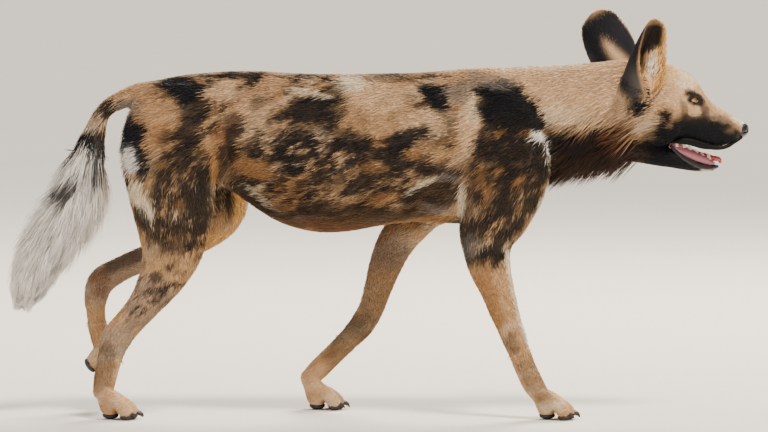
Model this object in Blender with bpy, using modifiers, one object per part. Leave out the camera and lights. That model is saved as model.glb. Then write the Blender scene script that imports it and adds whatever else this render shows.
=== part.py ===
"""African wild dog, life size, walking to +X with its mouth open.

The dog stands on Z = 0 with its right side at -Y. All lengths are in metres.
The flesh is lofted from a few named stations a limb, fused into one skin, softened,
and parted into nodes by prisms that leave a thin gap.
"""

import math
import random

import bmesh
import bpy
import numpy as np
from mathutils import Matrix, Vector

# Gap between two pieces that meet
GAP = 0.0003

# Voxels of the fused skins, and the triangles that each is thinned to
BODY_VOXEL, BODY_TRIANGLES = 0.006, 3550
HEAD_VOXEL, HEAD_TRIANGLES = 0.003, 2000
PAW_VOXEL, PAW_TRIANGLES = 0.0028, 360
RINGS_PER_SPAN = 4

# The head is turned a little to the dog's left, about a point in the nape
HEAD_YAW = math.radians(8)
NAPE = Vector((0.43, 0.0, 0.53))

# Trunk stations: x, top, bottom, half width, share of the height where it is widest, squareness
TORSO = (
    (-0.432, 0.556, 0.520, 0.018, 0.5, 2.0),
    (-0.424, 0.570, 0.500, 0.034, 0.5, 2.0),
    (-0.405, 0.581, 0.480, 0.046, 0.5, 2.0),
    (-0.375, 0.588, 0.455, 0.055, 0.5, 2.0),
    (-0.335, 0.595, 0.430, 0.063, 0.5, 2.0),
    (-0.290, 0.599, 0.405, 0.067, 0.5, 2.1),
    (-0.250, 0.601, 0.385, 0.066, 0.5, 2.1),
    (-0.210, 0.601, 0.356, 0.068, 0.5, 2.1),
    (-0.175, 0.599, 0.336, 0.075, 0.48, 2.1),
    (-0.135, 0.597, 0.323, 0.083, 0.46, 2.1),
    (-0.095, 0.596, 0.318, 0.088, 0.45, 2.1),
    (-0.050, 0.596, 0.321, 0.090, 0.45, 2.1),
    (0.000, 0.597, 0.330, 0.090, 0.46, 2.1),
    (0.050, 0.598, 0.336, 0.088, 0.48, 2.1),
    (0.100, 0.601, 0.335, 0.083, 0.5, 2.0),
    (0.150, 0.605, 0.334, 0.077, 0.5, 2.0),
    (0.190, 0.607, 0.344, 0.070, 0.5, 2.0),
    (0.230, 0.607, 0.362, 0.060, 0.5, 2.0),
    (0.260, 0.603, 0.388, 0.048, 0.5, 2.0),
    (0.285, 0.585, 0.415, 0.034, 0.5, 2.0),
    (0.298, 0.550, 0.450, 0.018, 0.5, 2.0),
)
NECK = (
    (0.180, 0.600, 0.400, 0.070, 0.5, 2.0),
    (0.220, 0.606, 0.390, 0.066, 0.5, 2.0),
    (0.260, 0.610, 0.400, 0.062, 0.5, 2.0),
    (0.300, 0.612, 0.417, 0.059, 0.5, 2.0),
    (0.340, 0.614, 0.427, 0.057, 0.5, 2.0),
    (0.380, 0.617, 0.437, 0.057, 0.5, 2.0),
    (0.415, 0.620, 0.444, 0.059, 0.5, 2.0),
    (0.445, 0.618, 0.452, 0.060, 0.5, 2.0),
)
SKULL = (
    (0.395, 0.617, 0.455, 0.056, 0.5, 2.0),
    (0.430, 0.620, 0.450, 0.062, 0.5, 2.0),
    (0.460, 0.618, 0.452, 0.067, 0.48, 2.0),
    (0.487, 0.616, 0.462, 0.068, 0.45, 2.0),
    (0.506, 0.612, 0.474, 0.064, 0.43, 2.0),
    (0.522, 0.606, 0.476, 0.0575, 0.40, 2.0),
    (0.538, 0.597, 0.473, 0.0485, 0.37, 2.1),
    (0.552, 0.583, 0.468, 0.0405, 0.34, 2.2),
    (0.565, 0.562, 0.4655, 0.0355, 0.35, 2.3),
    (0.580, 0.544, 0.4640, 0.0325, 0.40, 2.4),
    (0.596, 0.5335, 0.4655, 0.030, 0.42, 2.4),
    (0.612, 0.5245, 0.4735, 0.0265, 0.45, 2.4),
    (0.626, 0.516, 0.482, 0.0215, 0.5, 2.3),
    (0.634, 0.510, 0.487, 0.015, 0.5, 2.2),
)
JAW = (
    (0.430, 0.500, 0.442, 0.046, 0.5, 2.0),
    (0.465, 0.488, 0.437, 0.047, 0.5, 2.0),
    (0.487, 0.478, 0.4335, 0.044, 0.5, 2.0),
    (0.506, 0.466, 0.431, 0.039, 0.6, 2.2),
    (0.520, 0.4585, 0.4285, 0.0345, 0.65, 2.3),
    (0.533, 0.451, 0.4265, 0.0305, 0.65, 2.3),
    (0.548, 0.4435, 0.4245, 0.0275, 0.65, 2.3),
    (0.562, 0.4395, 0.4235, 0.0245, 0.65, 2.3),
    (0.575, 0.438, 0.4245, 0.0205, 0.65, 2.2),
    (0.584, 0.4365, 0.427, 0.0145, 0.6, 2.0),
    (0.589, 0.435, 0.4305, 0.007, 0.5, 2.0),
)
# Limb stations: x, y, z, half size along the body, half size across it
RIGHT_FORELEG = (
    (0.190, -0.045, 0.560, 0.035, 0.018),
    (0.212, -0.052, 0.510, 0.060, 0.026),
    (0.222, -0.056, 0.455, 0.074, 0.031),
    (0.214, -0.060, 0.405, 0.074, 0.034),
    (0.200, -0.063, 0.360, 0.064, 0.033),
    (0.187, -0.064, 0.322, 0.053, 0.030),
    (0.185, -0.065, 0.292, 0.043, 0.026),
    (0.190, -0.066, 0.262, 0.038, 0.023),
    (0.2026, -0.067, 0.224, 0.031, 0.021),
    (0.213, -0.068, 0.191, 0.0275, 0.0195),
    (0.2225, -0.068, 0.165, 0.0245, 0.019),
    (0.2313, -0.069, 0.142, 0.0235, 0.019),
    (0.2405, -0.070, 0.117, 0.0205, 0.018),
    (0.251, -0.070, 0.090, 0.0195, 0.018),
    (0.264, -0.071, 0.062, 0.0195, 0.020),
    (0.276, -0.071, 0.044, 0.0170, 0.021),
)
LEFT_FORELEG = (
    (0.190, 0.045, 0.560, 0.035, 0.018),
    (0.212, 0.052, 0.510, 0.060, 0.026),
    (0.218, 0.056, 0.460, 0.071, 0.030),
    (0.185, 0.060, 0.413, 0.070, 0.033),
    (0.131, 0.064, 0.385, 0.050, 0.031),
    (0.083, 0.067, 0.358, 0.040, 0.029),
    (0.048, 0.070, 0.323, 0.036, 0.026),
    (0.027, 0.072, 0.295, 0.034, 0.024),
    (0.0096, 0.074, 0.257, 0.0305, 0.022),
    (-0.0035, 0.076, 0.217, 0.026, 0.0205),
    (-0.0145, 0.078, 0.183, 0.024, 0.0195),
    (-0.028, 0.080, 0.157, 0.0235, 0.019),
    (-0.040, 0.081, 0.141, 0.0225, 0.019),
    (-0.060, 0.083, 0.120, 0.020, 0.018),
    (-0.085, 0.085, 0.095, 0.019, 0.018),
    (-0.108, 0.087, 0.072, 0.019, 0.020),
    (-0.124, 0.088, 0.056, 0.017, 0.021),
)
RIGHT_HIND_LEG = (
    (-0.330, -0.040, 0.560, 0.060, 0.020),
    (-0.352, -0.046, 0.515, 0.083, 0.031),
    (-0.363, -0.050, 0.463, 0.086, 0.036),
    (-0.362, -0.053, 0.419, 0.081, 0.036),
    (-0.358, -0.056, 0.364, 0.073, 0.034),
    (-0.358, -0.058, 0.320, 0.063, 0.030),
    (-0.362, -0.059, 0.286, 0.054, 0.027),
    (-0.373, -0.060, 0.255, 0.045, 0.024),
    (-0.387, -0.061, 0.230, 0.038, 0.022),
    (-0.405, -0.062, 0.203, 0.031, 0.020),
    (-0.424, -0.063, 0.180, 0.0275, 0.019),
    (-0.443, -0.064, 0.158, 0.027, 0.0185),
    (-0.458, -0.065, 0.138, 0.0285, 0.018),
    (-0.4645, -0.065, 0.118, 0.0245, 0.017),
    (-0.4705, -0.066, 0.095, 0.0215, 0.0165),
    (-0.476, -0.067, 0.072, 0.0205, 0.018),
    (-0.480, -0.068, 0.050, 0.0185, 0.021),
)
LEFT_HIND_LEG = (
    (-0.330, 0.040, 0.560, 0.060, 0.020),
    (-0.340, 0.046, 0.515, 0.081, 0.031),
    (-0.335, 0.050, 0.465, 0.083, 0.036),
    (-0.315, 0.053, 0.425, 0.076, 0.036),
    (-0.295, 0.056, 0.392, 0.066, 0.033),
    (-0.285, 0.058, 0.362, 0.054, 0.031),
    (-0.298, 0.059, 0.333, 0.043, 0.027),
    (-0.335, 0.060, 0.305, 0.035, 0.024),
    (-0.375, 0.061, 0.284, 0.028, 0.021),
    (-0.415, 0.062, 0.268, 0.0235, 0.019),
    (-0.455, 0.063, 0.250, 0.0235, 0.018),
    (-0.488, 0.064, 0.229, 0.0255, 0.018),
    (-0.4985, 0.064, 0.202, 0.0225, 0.0175),
    (-0.4995, 0.064, 0.177, 0.0185, 0.0165),
    (-0.497, 0.065, 0.153, 0.0180, 0.016),
    (-0.492, 0.065, 0.131, 0.0180, 0.017),
    (-0.487, 0.065, 0.112, 0.0170, 0.020),
)
TAIL_DOCK = (
    (-0.370, 0.0, 0.560, 0.028, 0.026),
    (-0.400, 0.0, 0.558, 0.026, 0.024),
    (-0.4245, 0.0, 0.555, 0.0235, 0.021),
    (-0.4430, 0.0, 0.551, 0.0190, 0.018),
    (-0.4640, 0.0, 0.542, 0.0160, 0.016),
    (-0.4817, 0.0, 0.526, 0.0155, 0.016),
    (-0.4935, 0.0, 0.500, 0.0195, 0.018),
    (-0.5020, 0.0, 0.474, 0.0260, 0.022),
    (-0.5060, 0.0, 0.455, 0.0300, 0.025),
)
TAIL_BRUSH = (
    (-0.5005, 0.0, 0.479, 0.0250, 0.021),
    (-0.5043, 0.0, 0.4626, 0.0296, 0.024),
    (-0.5148, 0.0, 0.4278, 0.0400, 0.031),
    (-0.525, 0.0, 0.393, 0.0470, 0.036),
    (-0.546, 0.0, 0.3496, 0.0530, 0.040),
    (-0.5739, 0.0, 0.306, 0.0530, 0.038),
    (-0.600, 0.0, 0.2626, 0.0430, 0.031),
    (-0.6174, 0.0, 0.219, 0.0280, 0.020),
    (-0.626, 0.0, 0.190, 0.0060, 0.006),
)

# Each paw: last joint of the leg, its turn about Z, its tilt about Y, and whether it stands
PAWS = {
    "right_fore_paw": (RIGHT_FORELEG, math.radians(-3), 0.0, True),
    "left_fore_paw": (LEFT_FORELEG, math.radians(3), 0.0, True),
    "right_hind_paw": (RIGHT_HIND_LEG, math.radians(-4), 0.0, True),
    "left_hind_paw": (LEFT_HIND_LEG, math.radians(4), math.radians(55), False),
}
LIFTED_JOINT = 0.044
TOE_PITCH = 0.0122

# Ear: height, then share of the height, radius of the cup and half angle that it wraps
EAR_HEIGHT, EAR_THICKNESS = 0.138, 0.0042
EAR_ROWS = (
    (0.00, 0.025, 150),
    (0.14, 0.032, 138),
    (0.28, 0.040, 112),
    (0.42, 0.047, 87),
    (0.56, 0.053, 68),
    (0.70, 0.057, 55),
    (0.82, 0.060, 45),
    (0.91, 0.062, 34),
    (0.97, 0.063, 22),
    (1.00, 0.063, 8),
)
# Each ear: root, direction of its height, direction that its cup faces
EARS = {
    "right_ear": ((0.412, -0.048, 0.570), (0.30, -0.38, 0.87), (0.77, -0.638, 0.0)),
    "left_ear": ((0.425, 0.046, 0.574), (-0.34, 0.30, 0.89), (0.32, 0.95, 0.0)),
}

# Locks: share of the width and of the thickness at four points from root to tip
LOCK_TAPER = ((0.45, 1.0), (1.0, 1.0), (0.80, 0.75), (0.06, 0.14))
# Brush: rows of locks between two shares of its length, and the size of one lock
BRUSH_ROWS, BRUSH_AROUND = 6, 6
BRUSH_FIRST, BRUSH_LAST = 0.03, 0.76
BRUSH_LOCK, BRUSH_LOCK_WIDTH, BRUSH_LOCK_THICKNESS = 0.112, 0.0155, 0.0060
# Share of the brush that is core below and at its top, and the drop between the two
BRUSH_CORE, BRUSH_FULL_SHARE, BRUSH_FULL = 0.48, 0.94, 0.06
# Ruff: rows of locks along the throat, the arc that they span, and the size of one lock
RUFF_ROWS, RUFF_ACROSS = 4, 4
RUFF_FROM, RUFF_TO = 0.325, 0.425
RUFF_SPREAD = math.radians(130)
RUFF_LENGTH, RUFF_DEPTH, RUFF_LOCK_WIDTH, RUFF_LOCK_THICKNESS = 0.066, 0.020, 0.0150, 0.0060

EYE_RADIUS = 0.0115
EYE_CENTRE = Vector((0.5330, 0.0365, 0.5515))
EYE_FACING = math.radians(50)
LID_RADIUS = 0.0145


def spline(stations):
    """Rows on the Catmull-Rom curve through the stations."""
    p = np.array(stations, float)
    p = np.vstack([2 * p[0] - p[1], p, 2 * p[-1] - p[-2]])
    t = np.linspace(0, 1, RINGS_PER_SPAN, endpoint=False)[:, None]
    rows = []
    for a, b, c, d in zip(p, p[1:], p[2:], p[3:]):
        cubic = 3 * b - a - 3 * c + d
        square = 2 * a - 5 * b + 4 * c - d
        rows.append(b + 0.5 * ((c - a) * t + square * t**2 + cubic * t**3))
    return np.vstack(rows + [p[-2:-1]])


def signed_power(value, power):
    return np.sign(value) * np.abs(value) ** power


def trunk_rings(stations, sides=32):
    """Upright superellipse rings along X, widest at their own height."""
    x, top, bottom, half, level, square = spline(stations).T[:, :, None]
    angle = np.linspace(0, 2 * math.pi, sides, endpoint=False)[None]
    across = signed_power(np.cos(angle), 2 / square)
    up = signed_power(np.sin(angle), 2 / square)
    middle = bottom + (top - bottom) * level
    z = middle + np.where(up > 0, (top - middle) * up, (middle - bottom) * up)
    return np.stack([x + 0 * up, -half * across, z], axis=-1)


def limb_rings(stations, sides=24):
    """Ellipse rings square to the limb's path."""
    rows = spline(stations)
    centre = rows[:, :3]
    along = np.gradient(centre, axis=0)
    along /= np.linalg.norm(along, axis=1)[:, None]
    side = np.array([0, 1, 0]) - along * along[:, 1:2]
    side /= np.linalg.norm(side, axis=1)[:, None]
    depth = np.cross(along, side)
    angle = np.linspace(0, 2 * math.pi, sides, endpoint=False)[None, :, None]
    fore = depth[:, None] * np.cos(angle) * rows[:, 3][:, None, None]
    across = side[:, None] * np.sin(angle) * rows[:, 4][:, None, None]
    return centre[:, None] + fore + across


def loft(rings):
    """A closed mesh over rings of points, with a fan on each end."""
    rows, sides = rings.shape[:2]
    points = [*rings.reshape(-1, 3), rings[0].mean(axis=0), rings[-1].mean(axis=0)]
    first, last = rows * sides, rows * sides + 1
    faces = []
    for s in range(sides):
        n = (s + 1) % sides
        for r in range(rows - 1):
            a, b = r * sides, (r + 1) * sides
            faces.append((a + s, a + n, b + n, b + s))
        faces.append((first, n, s))
        faces.append((last, (rows - 1) * sides + s, (rows - 1) * sides + n))
    mesh = bpy.data.meshes.new("loft")
    mesh.from_pydata(points, [], faces)
    return facing_out(mesh)


def facing_out(mesh):
    shape = bmesh.new()
    shape.from_mesh(mesh)
    bmesh.ops.recalc_face_normals(shape, faces=shape.faces)
    if shape.calc_volume(signed=True) < 0:
        bmesh.ops.reverse_faces(shape, faces=shape.faces)
    shape.to_mesh(mesh)
    shape.free()
    return mesh


def ball(centre, radii, segments=16, rings=10, turn=None):
    """An ellipsoid; turn is a 3x3 matrix that sets its axes."""
    shape = bmesh.new()
    bmesh.ops.create_uvsphere(shape, u_segments=segments, v_segments=rings, radius=1)
    turned = (turn or Matrix.Identity(3)).to_4x4()
    place = Matrix.Translation(centre) @ turned @ Matrix.Diagonal((*radii, 1))
    shape.transform(place)
    mesh = bpy.data.meshes.new("ball")
    shape.to_mesh(mesh)
    shape.free()
    return facing_out(mesh)


def prism(outline, y_from, y_to):
    """An upright outline in X and Z, carried across from one Y to another."""
    shape = bmesh.new()
    near = [shape.verts.new((x, y_from, z)) for x, z in outline]
    face = shape.faces.new(near)
    carried = bmesh.ops.extrude_face_region(shape, geom=[face])["geom"]
    moved = [v for v in carried if isinstance(v, bmesh.types.BMVert)]
    bmesh.ops.translate(shape, verts=moved, vec=(0, y_to - y_from, 0))
    bmesh.ops.recalc_face_normals(shape, faces=shape.faces)
    mesh = bpy.data.meshes.new("prism")
    shape.to_mesh(mesh)
    shape.free()
    return facing_out(mesh)


def grown(mesh, by=GAP):
    """A copy whose faces stand out by the same distance."""
    shape = bmesh.new()
    shape.from_mesh(mesh)
    shape.normal_update()
    moves = [(v, v.normal * by * min(v.calc_shell_factor(), 2)) for v in shape.verts]
    for vertex, move in moves:
        vertex.co += move
    copy = bpy.data.meshes.new("grown")
    shape.to_mesh(copy)
    shape.free()
    return copy


def collection(name, hidden=False):
    made = bpy.data.collections.new(name)
    made.hide_render = hidden
    bpy.context.scene.collection.children.link(made)
    return made


def placed(name, mesh, where):
    made = bpy.data.objects.new(name, mesh)
    where.objects.link(made)
    return made


def settled(obj):
    """The object's evaluated mesh, with its modifiers applied."""
    graph = bpy.context.evaluated_depsgraph_get()
    mesh = bpy.data.meshes.new_from_object(obj.evaluated_get(graph))
    obj.modifiers.clear()
    obj.data = mesh
    return obj


def changed(mesh, *modifiers):
    """The mesh after modifiers, each a type with its settings."""
    helper = placed("helper", mesh, CUTTERS)
    for kind, settings in modifiers:
        modifier = helper.modifiers.new(kind, kind)
        for key, value in settings.items():
            setattr(modifier, key, value)
    result = settled(helper).data
    bpy.data.objects.remove(helper)
    return result


def combined(mesh, other, operation):
    """One boolean of two closed meshes."""
    tool = placed("tool", other, CUTTERS)
    tool.hide_render = True
    tool.display_type = "WIRE"
    settings = {"operation": operation, "object": tool, "solver": "MANIFOLD"}
    result = changed(mesh, ("BOOLEAN", settings))
    bpy.data.objects.remove(tool)
    return result


def cut(mesh, other):
    return combined(mesh, other, "DIFFERENCE")


def kept_inside(mesh, other):
    return combined(mesh, other, "INTERSECT")


def largest(mesh):
    """The mesh with only its largest closed surface."""
    shape = bmesh.new()
    shape.from_mesh(mesh)
    bmesh.ops.triangulate(shape, faces=shape.faces)
    unseen = set(shape.verts)
    islands = []
    while unseen:
        stack = [unseen.pop()]
        island = set(stack)
        while stack:
            for edge in stack.pop().link_edges:
                for vertex in edge.verts:
                    if vertex in unseen:
                        unseen.discard(vertex)
                        island.add(vertex)
                        stack.append(vertex)
        islands.append(island)

    def volume(island):
        faces = {face for vertex in island for face in vertex.link_faces}
        return sum(f.verts[0].co.dot(f.verts[1].co.cross(f.verts[2].co)) for f in faces)

    keep = max(islands, key=volume)
    bmesh.ops.delete(shape, geom=[v for v in shape.verts if v not in keep])
    shape.to_mesh(mesh)
    shape.free()
    return mesh


def together(meshes):
    """Loose meshes joined into one."""
    shape = bmesh.new()
    for mesh in meshes:
        shape.from_mesh(mesh)
    joined = bpy.data.meshes.new("joined")
    shape.to_mesh(joined)
    shape.free()
    return joined


def fused(meshes):
    """One closed mesh from closed meshes that cross, by one union on a collection."""
    pieces = collection("pieces")
    body = placed("body", meshes[0], CUTTERS)
    for mesh in meshes[1:]:
        placed("piece", mesh, pieces)
    union = body.modifiers.new("union", "BOOLEAN")
    union.operation = "UNION"
    union.operand_type = "COLLECTION"
    union.collection = pieces
    union.solver = "MANIFOLD"
    result = largest(settled(body).data)
    for obj in (body, *pieces.objects):
        bpy.data.objects.remove(obj)
    bpy.data.collections.remove(pieces)
    return result


def skin(meshes, voxel, triangles, soften=4):
    """One soft skin over meshes that cross, thinned to a count of triangles."""
    remesh = ("REMESH", {"mode": "VOXEL", "voxel_size": voxel})
    smooth = ("SMOOTH", {"factor": 0.5, "iterations": soften})
    whole = largest(changed(together(meshes), remesh, smooth))
    ratio = triangles / len(whole.polygons)
    return changed(whole, ("DECIMATE", {"ratio": ratio, "use_collapse_triangulate": True}))


def turned_head(mesh):
    """A mesh of the straight head, turned with it."""
    turn = Matrix.Rotation(HEAD_YAW, 4, "Z")
    mesh.transform(Matrix.Translation(NAPE) @ turn @ Matrix.Translation(-NAPE))
    return mesh


def material(name, colour, roughness):
    made = bpy.data.materials.new(name)
    made.use_nodes = True
    shader = made.node_tree.nodes["Principled BSDF"]
    shader.inputs["Base Color"].default_value = (*colour, 1)
    shader.inputs["Roughness"].default_value = roughness
    shader.inputs["Metallic"].default_value = 0
    return made


# Cut lines of each node of the body: outline in X and Z, and its two Y
HEAD_CUT = ((0.405, 0.74), (0.405, 0.62), (0.432, 0.43), (0.432, 0.38), (0.70, 0.38), (0.70, 0.74))
JAW_CUT = (
    (0.492, 0.4785),
    (0.466, 0.42),
    (0.466, 0.40),
    (0.64, 0.40),
    (0.64, 0.452),
    (0.562, 0.452),
    (0.533, 0.4605),
)
FAR = 0.3
BODY_CUTS = {
    "neck": (
        ((0.216, 0.70), (0.216, 0.66), (0.300, 0.398), (0.306, 0.34), (0.5, 0.34), (0.5, 0.70)),
        (-FAR, FAR),
    ),
    "tail_dock": (
        (
            (-0.426, 0.64),
            (-0.426, 0.531),
            (-0.452, 0.523),
            (-0.4625, 0.505),
            (-0.4625, 0.488),
            (-0.60, 0.466),
            (-0.60, 0.64),
        ),
        (-FAR, FAR),
    ),
    "right_forearm": (
        ((0.10, 0.300), (0.30, 0.300), (0.34, 0.155), (0.15, 0.083), (0.10, 0.083)),
        (-FAR, -0.002),
    ),
    "left_forearm": (
        ((-0.004, 0.334), (0.075, 0.242), (0.075, -0.012), (-0.13, 0.189), (-0.06, 0.30)),
        (0.002, FAR),
    ),
    "right_shank": (
        ((-0.26, 0.300), (-0.52, 0.300), (-0.55, 0.128), (-0.38, 0.084), (-0.26, 0.20)),
        (-FAR, 0),
    ),
    "left_shank": (
        ((-0.335, 0.37), (-0.315, 0.22), (-0.42, 0.166), (-0.56, 0.152), (-0.60, 0.32)),
        (0.001, FAR),
    ),
    "right_upper_arm": (
        ((0.105, 0.44), (0.33, 0.44), (0.33, 0.25), (0.105, 0.25)),
        (-FAR, -0.024),
    ),
    "left_upper_arm": (
        ((0.33, 0.44), (0.115, 0.44), (-0.012, 0.345), (-0.012, 0.20), (0.20, 0.20), (0.33, 0.38)),
        (0.024, FAR),
    ),
    "right_thigh": (
        ((-0.262, 0.500), (-0.60, 0.500), (-0.60, 0.20), (-0.262, 0.20)),
        (-FAR, -GAP / 2),
    ),
    "left_thigh": (
        ((-0.228, 0.500), (-0.60, 0.500), (-0.60, 0.20), (-0.228, 0.20)),
        (GAP / 2, FAR),
    ),
}
PAW_CUTS = {
    "right_fore_paw": ((0.15, 0.083), (0.34, 0.155), (0.40, -0.05), (0.15, -0.05)),
    "left_fore_paw": ((-0.13, 0.189), (0.075, -0.012), (0.075, -0.05), (-0.25, -0.05), (-0.25, 0.189)),
    "right_hind_paw": ((-0.55, 0.128), (-0.38, 0.084), (-0.38, -0.05), (-0.55, -0.05)),
    "left_hind_paw": ((-0.56, 0.152), (-0.42, 0.166), (-0.40, 0.02), (-0.56, 0.02)),
}
BRUSH_CUT = ((-0.45, 0.4903), (-0.70, 0.4493), (-0.70, 0.10), (-0.45, 0.10))

BROWN = (0.30, 0.19, 0.10)
TAN = (0.55, 0.36, 0.20)
DARK = (0.04, 0.03, 0.028)
WHITE = (0.80, 0.74, 0.66)


def paw_pieces(stations, yaw, tilt, stands):
    """Pad, four toes and their claws of one paw, under the last joint of its leg."""
    joint = Vector(stations[-1][:3])
    high = joint.z if stands else LIFTED_JOINT
    turn = Matrix.Rotation(yaw, 4, "Z") @ Matrix.Rotation(tilt, 4, "Y")
    place = Matrix.Translation(joint) @ turn @ Matrix.Translation((0, 0, -high))
    fore, across = stations[-1][3:5]
    pastern = (
        (-0.001, 0, high, fore * 0.98, across),
        (0.003, 0, 0.018 + high * 0.5, 0.0165, 0.0190),
        (0.009, 0, 0.0240, 0.0160, 0.0190),
        (0.013, 0, 0.0120, 0.0155, 0.0185),
        (0.014, 0, 0.0040, 0.0125, 0.0150),
    )
    flesh = [ball((0, 0, high), (fore, across, fore)), loft(limb_rings(pastern, 14))]
    claws = []
    for side in (-1.5, -0.5, 0.5, 1.5):
        long = 1.0 if abs(side) < 1 else 0.78
        spread = side * TOE_PITCH
        toe = (
            (-0.002, spread * 0.80, high, 0.0125, 0.0085),
            (0.016, spread * 0.95, 0.037, 0.0126, 0.0088),
            (0.018 + 0.018 * long, spread * 1.10, 0.0255, 0.0125, 0.0090),
            (0.018 + 0.031 * long, spread * 1.15, 0.0130, 0.0138, 0.0090),
            (0.018 + 0.040 * long, spread * 1.15, 0.0070, 0.0095, 0.0072),
        )
        flesh.append(loft(limb_rings(toe, 14)))
        claw = (
            (0.014 + 0.040 * long, spread * 1.15, 0.0130, 0.0044, 0.0034),
            (0.021 + 0.042 * long, spread * 1.17, 0.0105, 0.0036, 0.0028),
            (0.026 + 0.044 * long, spread * 1.19, 0.0045, 0.0012, 0.0011),
        )
        claws.append(loft(limb_rings(claw, 5)[::RINGS_PER_SPAN]))
    for mesh in flesh + claws:
        mesh.transform(place)
    return flesh, claws


def paw(name):
    """A paw with its claws, cut from its leg and, where it stands, flat at the floor."""
    stations, yaw, tilt, stands = PAWS[name]
    flesh, claws = paw_pieces(stations, yaw, tilt, stands)
    whole = skin([loft(limb_rings(stations[-6:]))] + flesh, PAW_VOXEL, PAW_TRIANGLES, 2)
    whole = fused([whole] + claws)
    whole = kept_inside(whole, prism(PAW_CUTS[name], -FAR, FAR))
    if stands:
        below = ((-FAR * 3, 0), (FAR * 3, 0), (FAR * 3, -FAR), (-FAR * 3, -FAR))
        whole = cut(whole, prism(below, -FAR, FAR))
    return largest(whole)


def ear_shell(name):
    """A thin cup: an arc at each height, opened out and narrowed to a round tip."""
    root, height, facing = (Vector(v) for v in EARS[name])
    height.normalize()
    facing = (facing - height * facing.dot(height)).normalized()
    side = height.cross(facing)
    columns = 11
    points = []
    for share, radius, wrap in EAR_ROWS:
        back = root + height * EAR_HEIGHT * share - facing * 0.006 * math.sin(math.pi * share)
        centre = back + facing * radius
        for c in range(columns):
            angle = math.radians(wrap) * (2 * c / (columns - 1) - 1)
            points.append(centre - facing * radius * math.cos(angle) + side * radius * math.sin(angle))
    faces = []
    for r in range(len(EAR_ROWS) - 1):
        for c in range(columns - 1):
            a = r * columns + c
            faces.append((a, a + 1, a + 1 + columns, a + columns))
    mesh = bpy.data.meshes.new("ear")
    mesh.from_pydata(points, [], faces)
    solid = {"thickness": EAR_THICKNESS, "offset": 0, "use_even_offset": True}
    return turned_head(facing_out(changed(mesh, ("SOLIDIFY", solid))))


def eye_frame(side):
    """Centre of an eye, and the turn that points its X the way it looks."""
    centre = Vector((EYE_CENTRE.x, side * EYE_CENTRE.y, EYE_CENTRE.z))
    return centre, Matrix.Rotation(side * EYE_FACING, 3, "Z")


def tooth(x, y, z, height, thick, lean=0.0):
    """A pointed tooth, up for a height above 0 and down below it."""
    base = -0.3 * height
    stations = (
        (x, y, z + base, thick, thick * 0.8),
        (x + lean * 0.5, y, z + height * 0.5, thick * 0.72, thick * 0.6),
        (x + lean, y, z + height, thick * 0.12, thick * 0.12),
    )
    return loft(limb_rings(stations, 5)[::RINGS_PER_SPAN])


def jaw_teeth():
    """Lower teeth: canines, incisors between them and a row of cheek teeth a side."""
    teeth = []
    for side in (-1, 1):
        teeth.append(tooth(0.5705, side * 0.0125, 0.4375, 0.0145, 0.0042, -0.002))
        for i in range(5):
            x = 0.510 + 0.0118 * i
            y = side * (0.0275 - 0.0026 * i)
            teeth.append(tooth(x, y, 0.4625 - 0.0058 * i, 0.0068, 0.0052))
    for i in range(4):
        teeth.append(tooth(0.5805, (i - 1.5) * 0.0046, 0.4365, 0.0055, 0.0024))
    return teeth


def skull_teeth():
    """Upper teeth: canines, incisors and a row of cheek teeth a side."""
    teeth = []
    for side in (-1, 1):
        teeth.append(tooth(0.5985, side * 0.0165, 0.4785, -0.0145, 0.0044, -0.002))
        for i in range(5):
            x = 0.532 + 0.0125 * i
            y = side * (0.0270 - 0.0020 * i)
            teeth.append(tooth(x, y, 0.4790, -0.0065, 0.0054))
    for i in range(4):
        teeth.append(tooth(0.6125, (i - 1.5) * 0.0052, 0.4790, -0.0055, 0.0026))
    return teeth


def head_whole():
    """Skull, cheeks, brows, lids and jaw in one skin, with mouth and eye openings."""
    pieces = [loft(trunk_rings(NECK)), loft(trunk_rings(SKULL)), loft(trunk_rings(JAW))]
    for side in (-1, 1):
        pieces.append(ball((0.476, side * 0.048, 0.512), (0.040, 0.020, 0.040)))
        pieces.append(ball((0.446, side * 0.040, 0.568), (0.032, 0.020, 0.032)))
        pieces.append(ball(eye_frame(side)[0], (LID_RADIUS,) * 3, 20, 14))
    whole = skin(pieces, HEAD_VOXEL, HEAD_TRIANGLES)
    return cut(whole, ball((0.553, 0, 0.4665), (0.062, 0.0215, 0.0125), 16, 8))


def eye_openings(mesh):
    """The two slits between the lids and the sockets behind them."""
    for side in (-1, 1):
        centre, turn = eye_frame(side)
        slit = centre + turn @ Vector((0.013, 0, -0.0005))
        mesh = cut(mesh, ball(slit, (0.009, 0.0098, 0.0038), 12, 6, turn))
        mesh = cut(mesh, ball(centre, (EYE_RADIUS + GAP,) * 3, 12, 8, turn))
    return largest(mesh)


def nose_pad():
    """A blunt pad with two nostrils."""
    pad = ball((0.6290, 0, 0.4980), (0.0160, 0.0180, 0.0142), 12, 8)
    for side in (-1, 1):
        turn = Matrix.Rotation(side * math.radians(35), 3, "Z")
        pad = cut(pad, ball((0.6430, side * 0.0085, 0.4975), (0.0062, 0.0036, 0.0042), 8, 5, turn))
        slit = (0.6400, side * 0.0150, 0.4945)
        pad = cut(pad, ball(slit, (0.0070, 0.0030, 0.0016), 6, 3, turn))
    return largest(pad)


def tongue():
    """A flat tongue that lies in the jaw, its tip over the front of the lip."""
    path = (
        (0.488, 0.0, 0.4610, 0.0045, 0.0170),
        (0.512, 0.0, 0.4585, 0.0050, 0.0180),
        (0.535, 0.0, 0.4515, 0.0050, 0.0160),
        (0.556, 0.0, 0.4465, 0.0044, 0.0120),
        (0.570, 0.0, 0.4470, 0.0036, 0.0078),
        (0.584, 0.0, 0.4465, 0.0032, 0.0078),
        (0.5915, 0.0, 0.4425, 0.0028, 0.0080),
        (0.5945, 0.0, 0.4375, 0.0018, 0.0050),
    )
    return loft(limb_rings(path, 10)[::RINGS_PER_SPAN])


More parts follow.
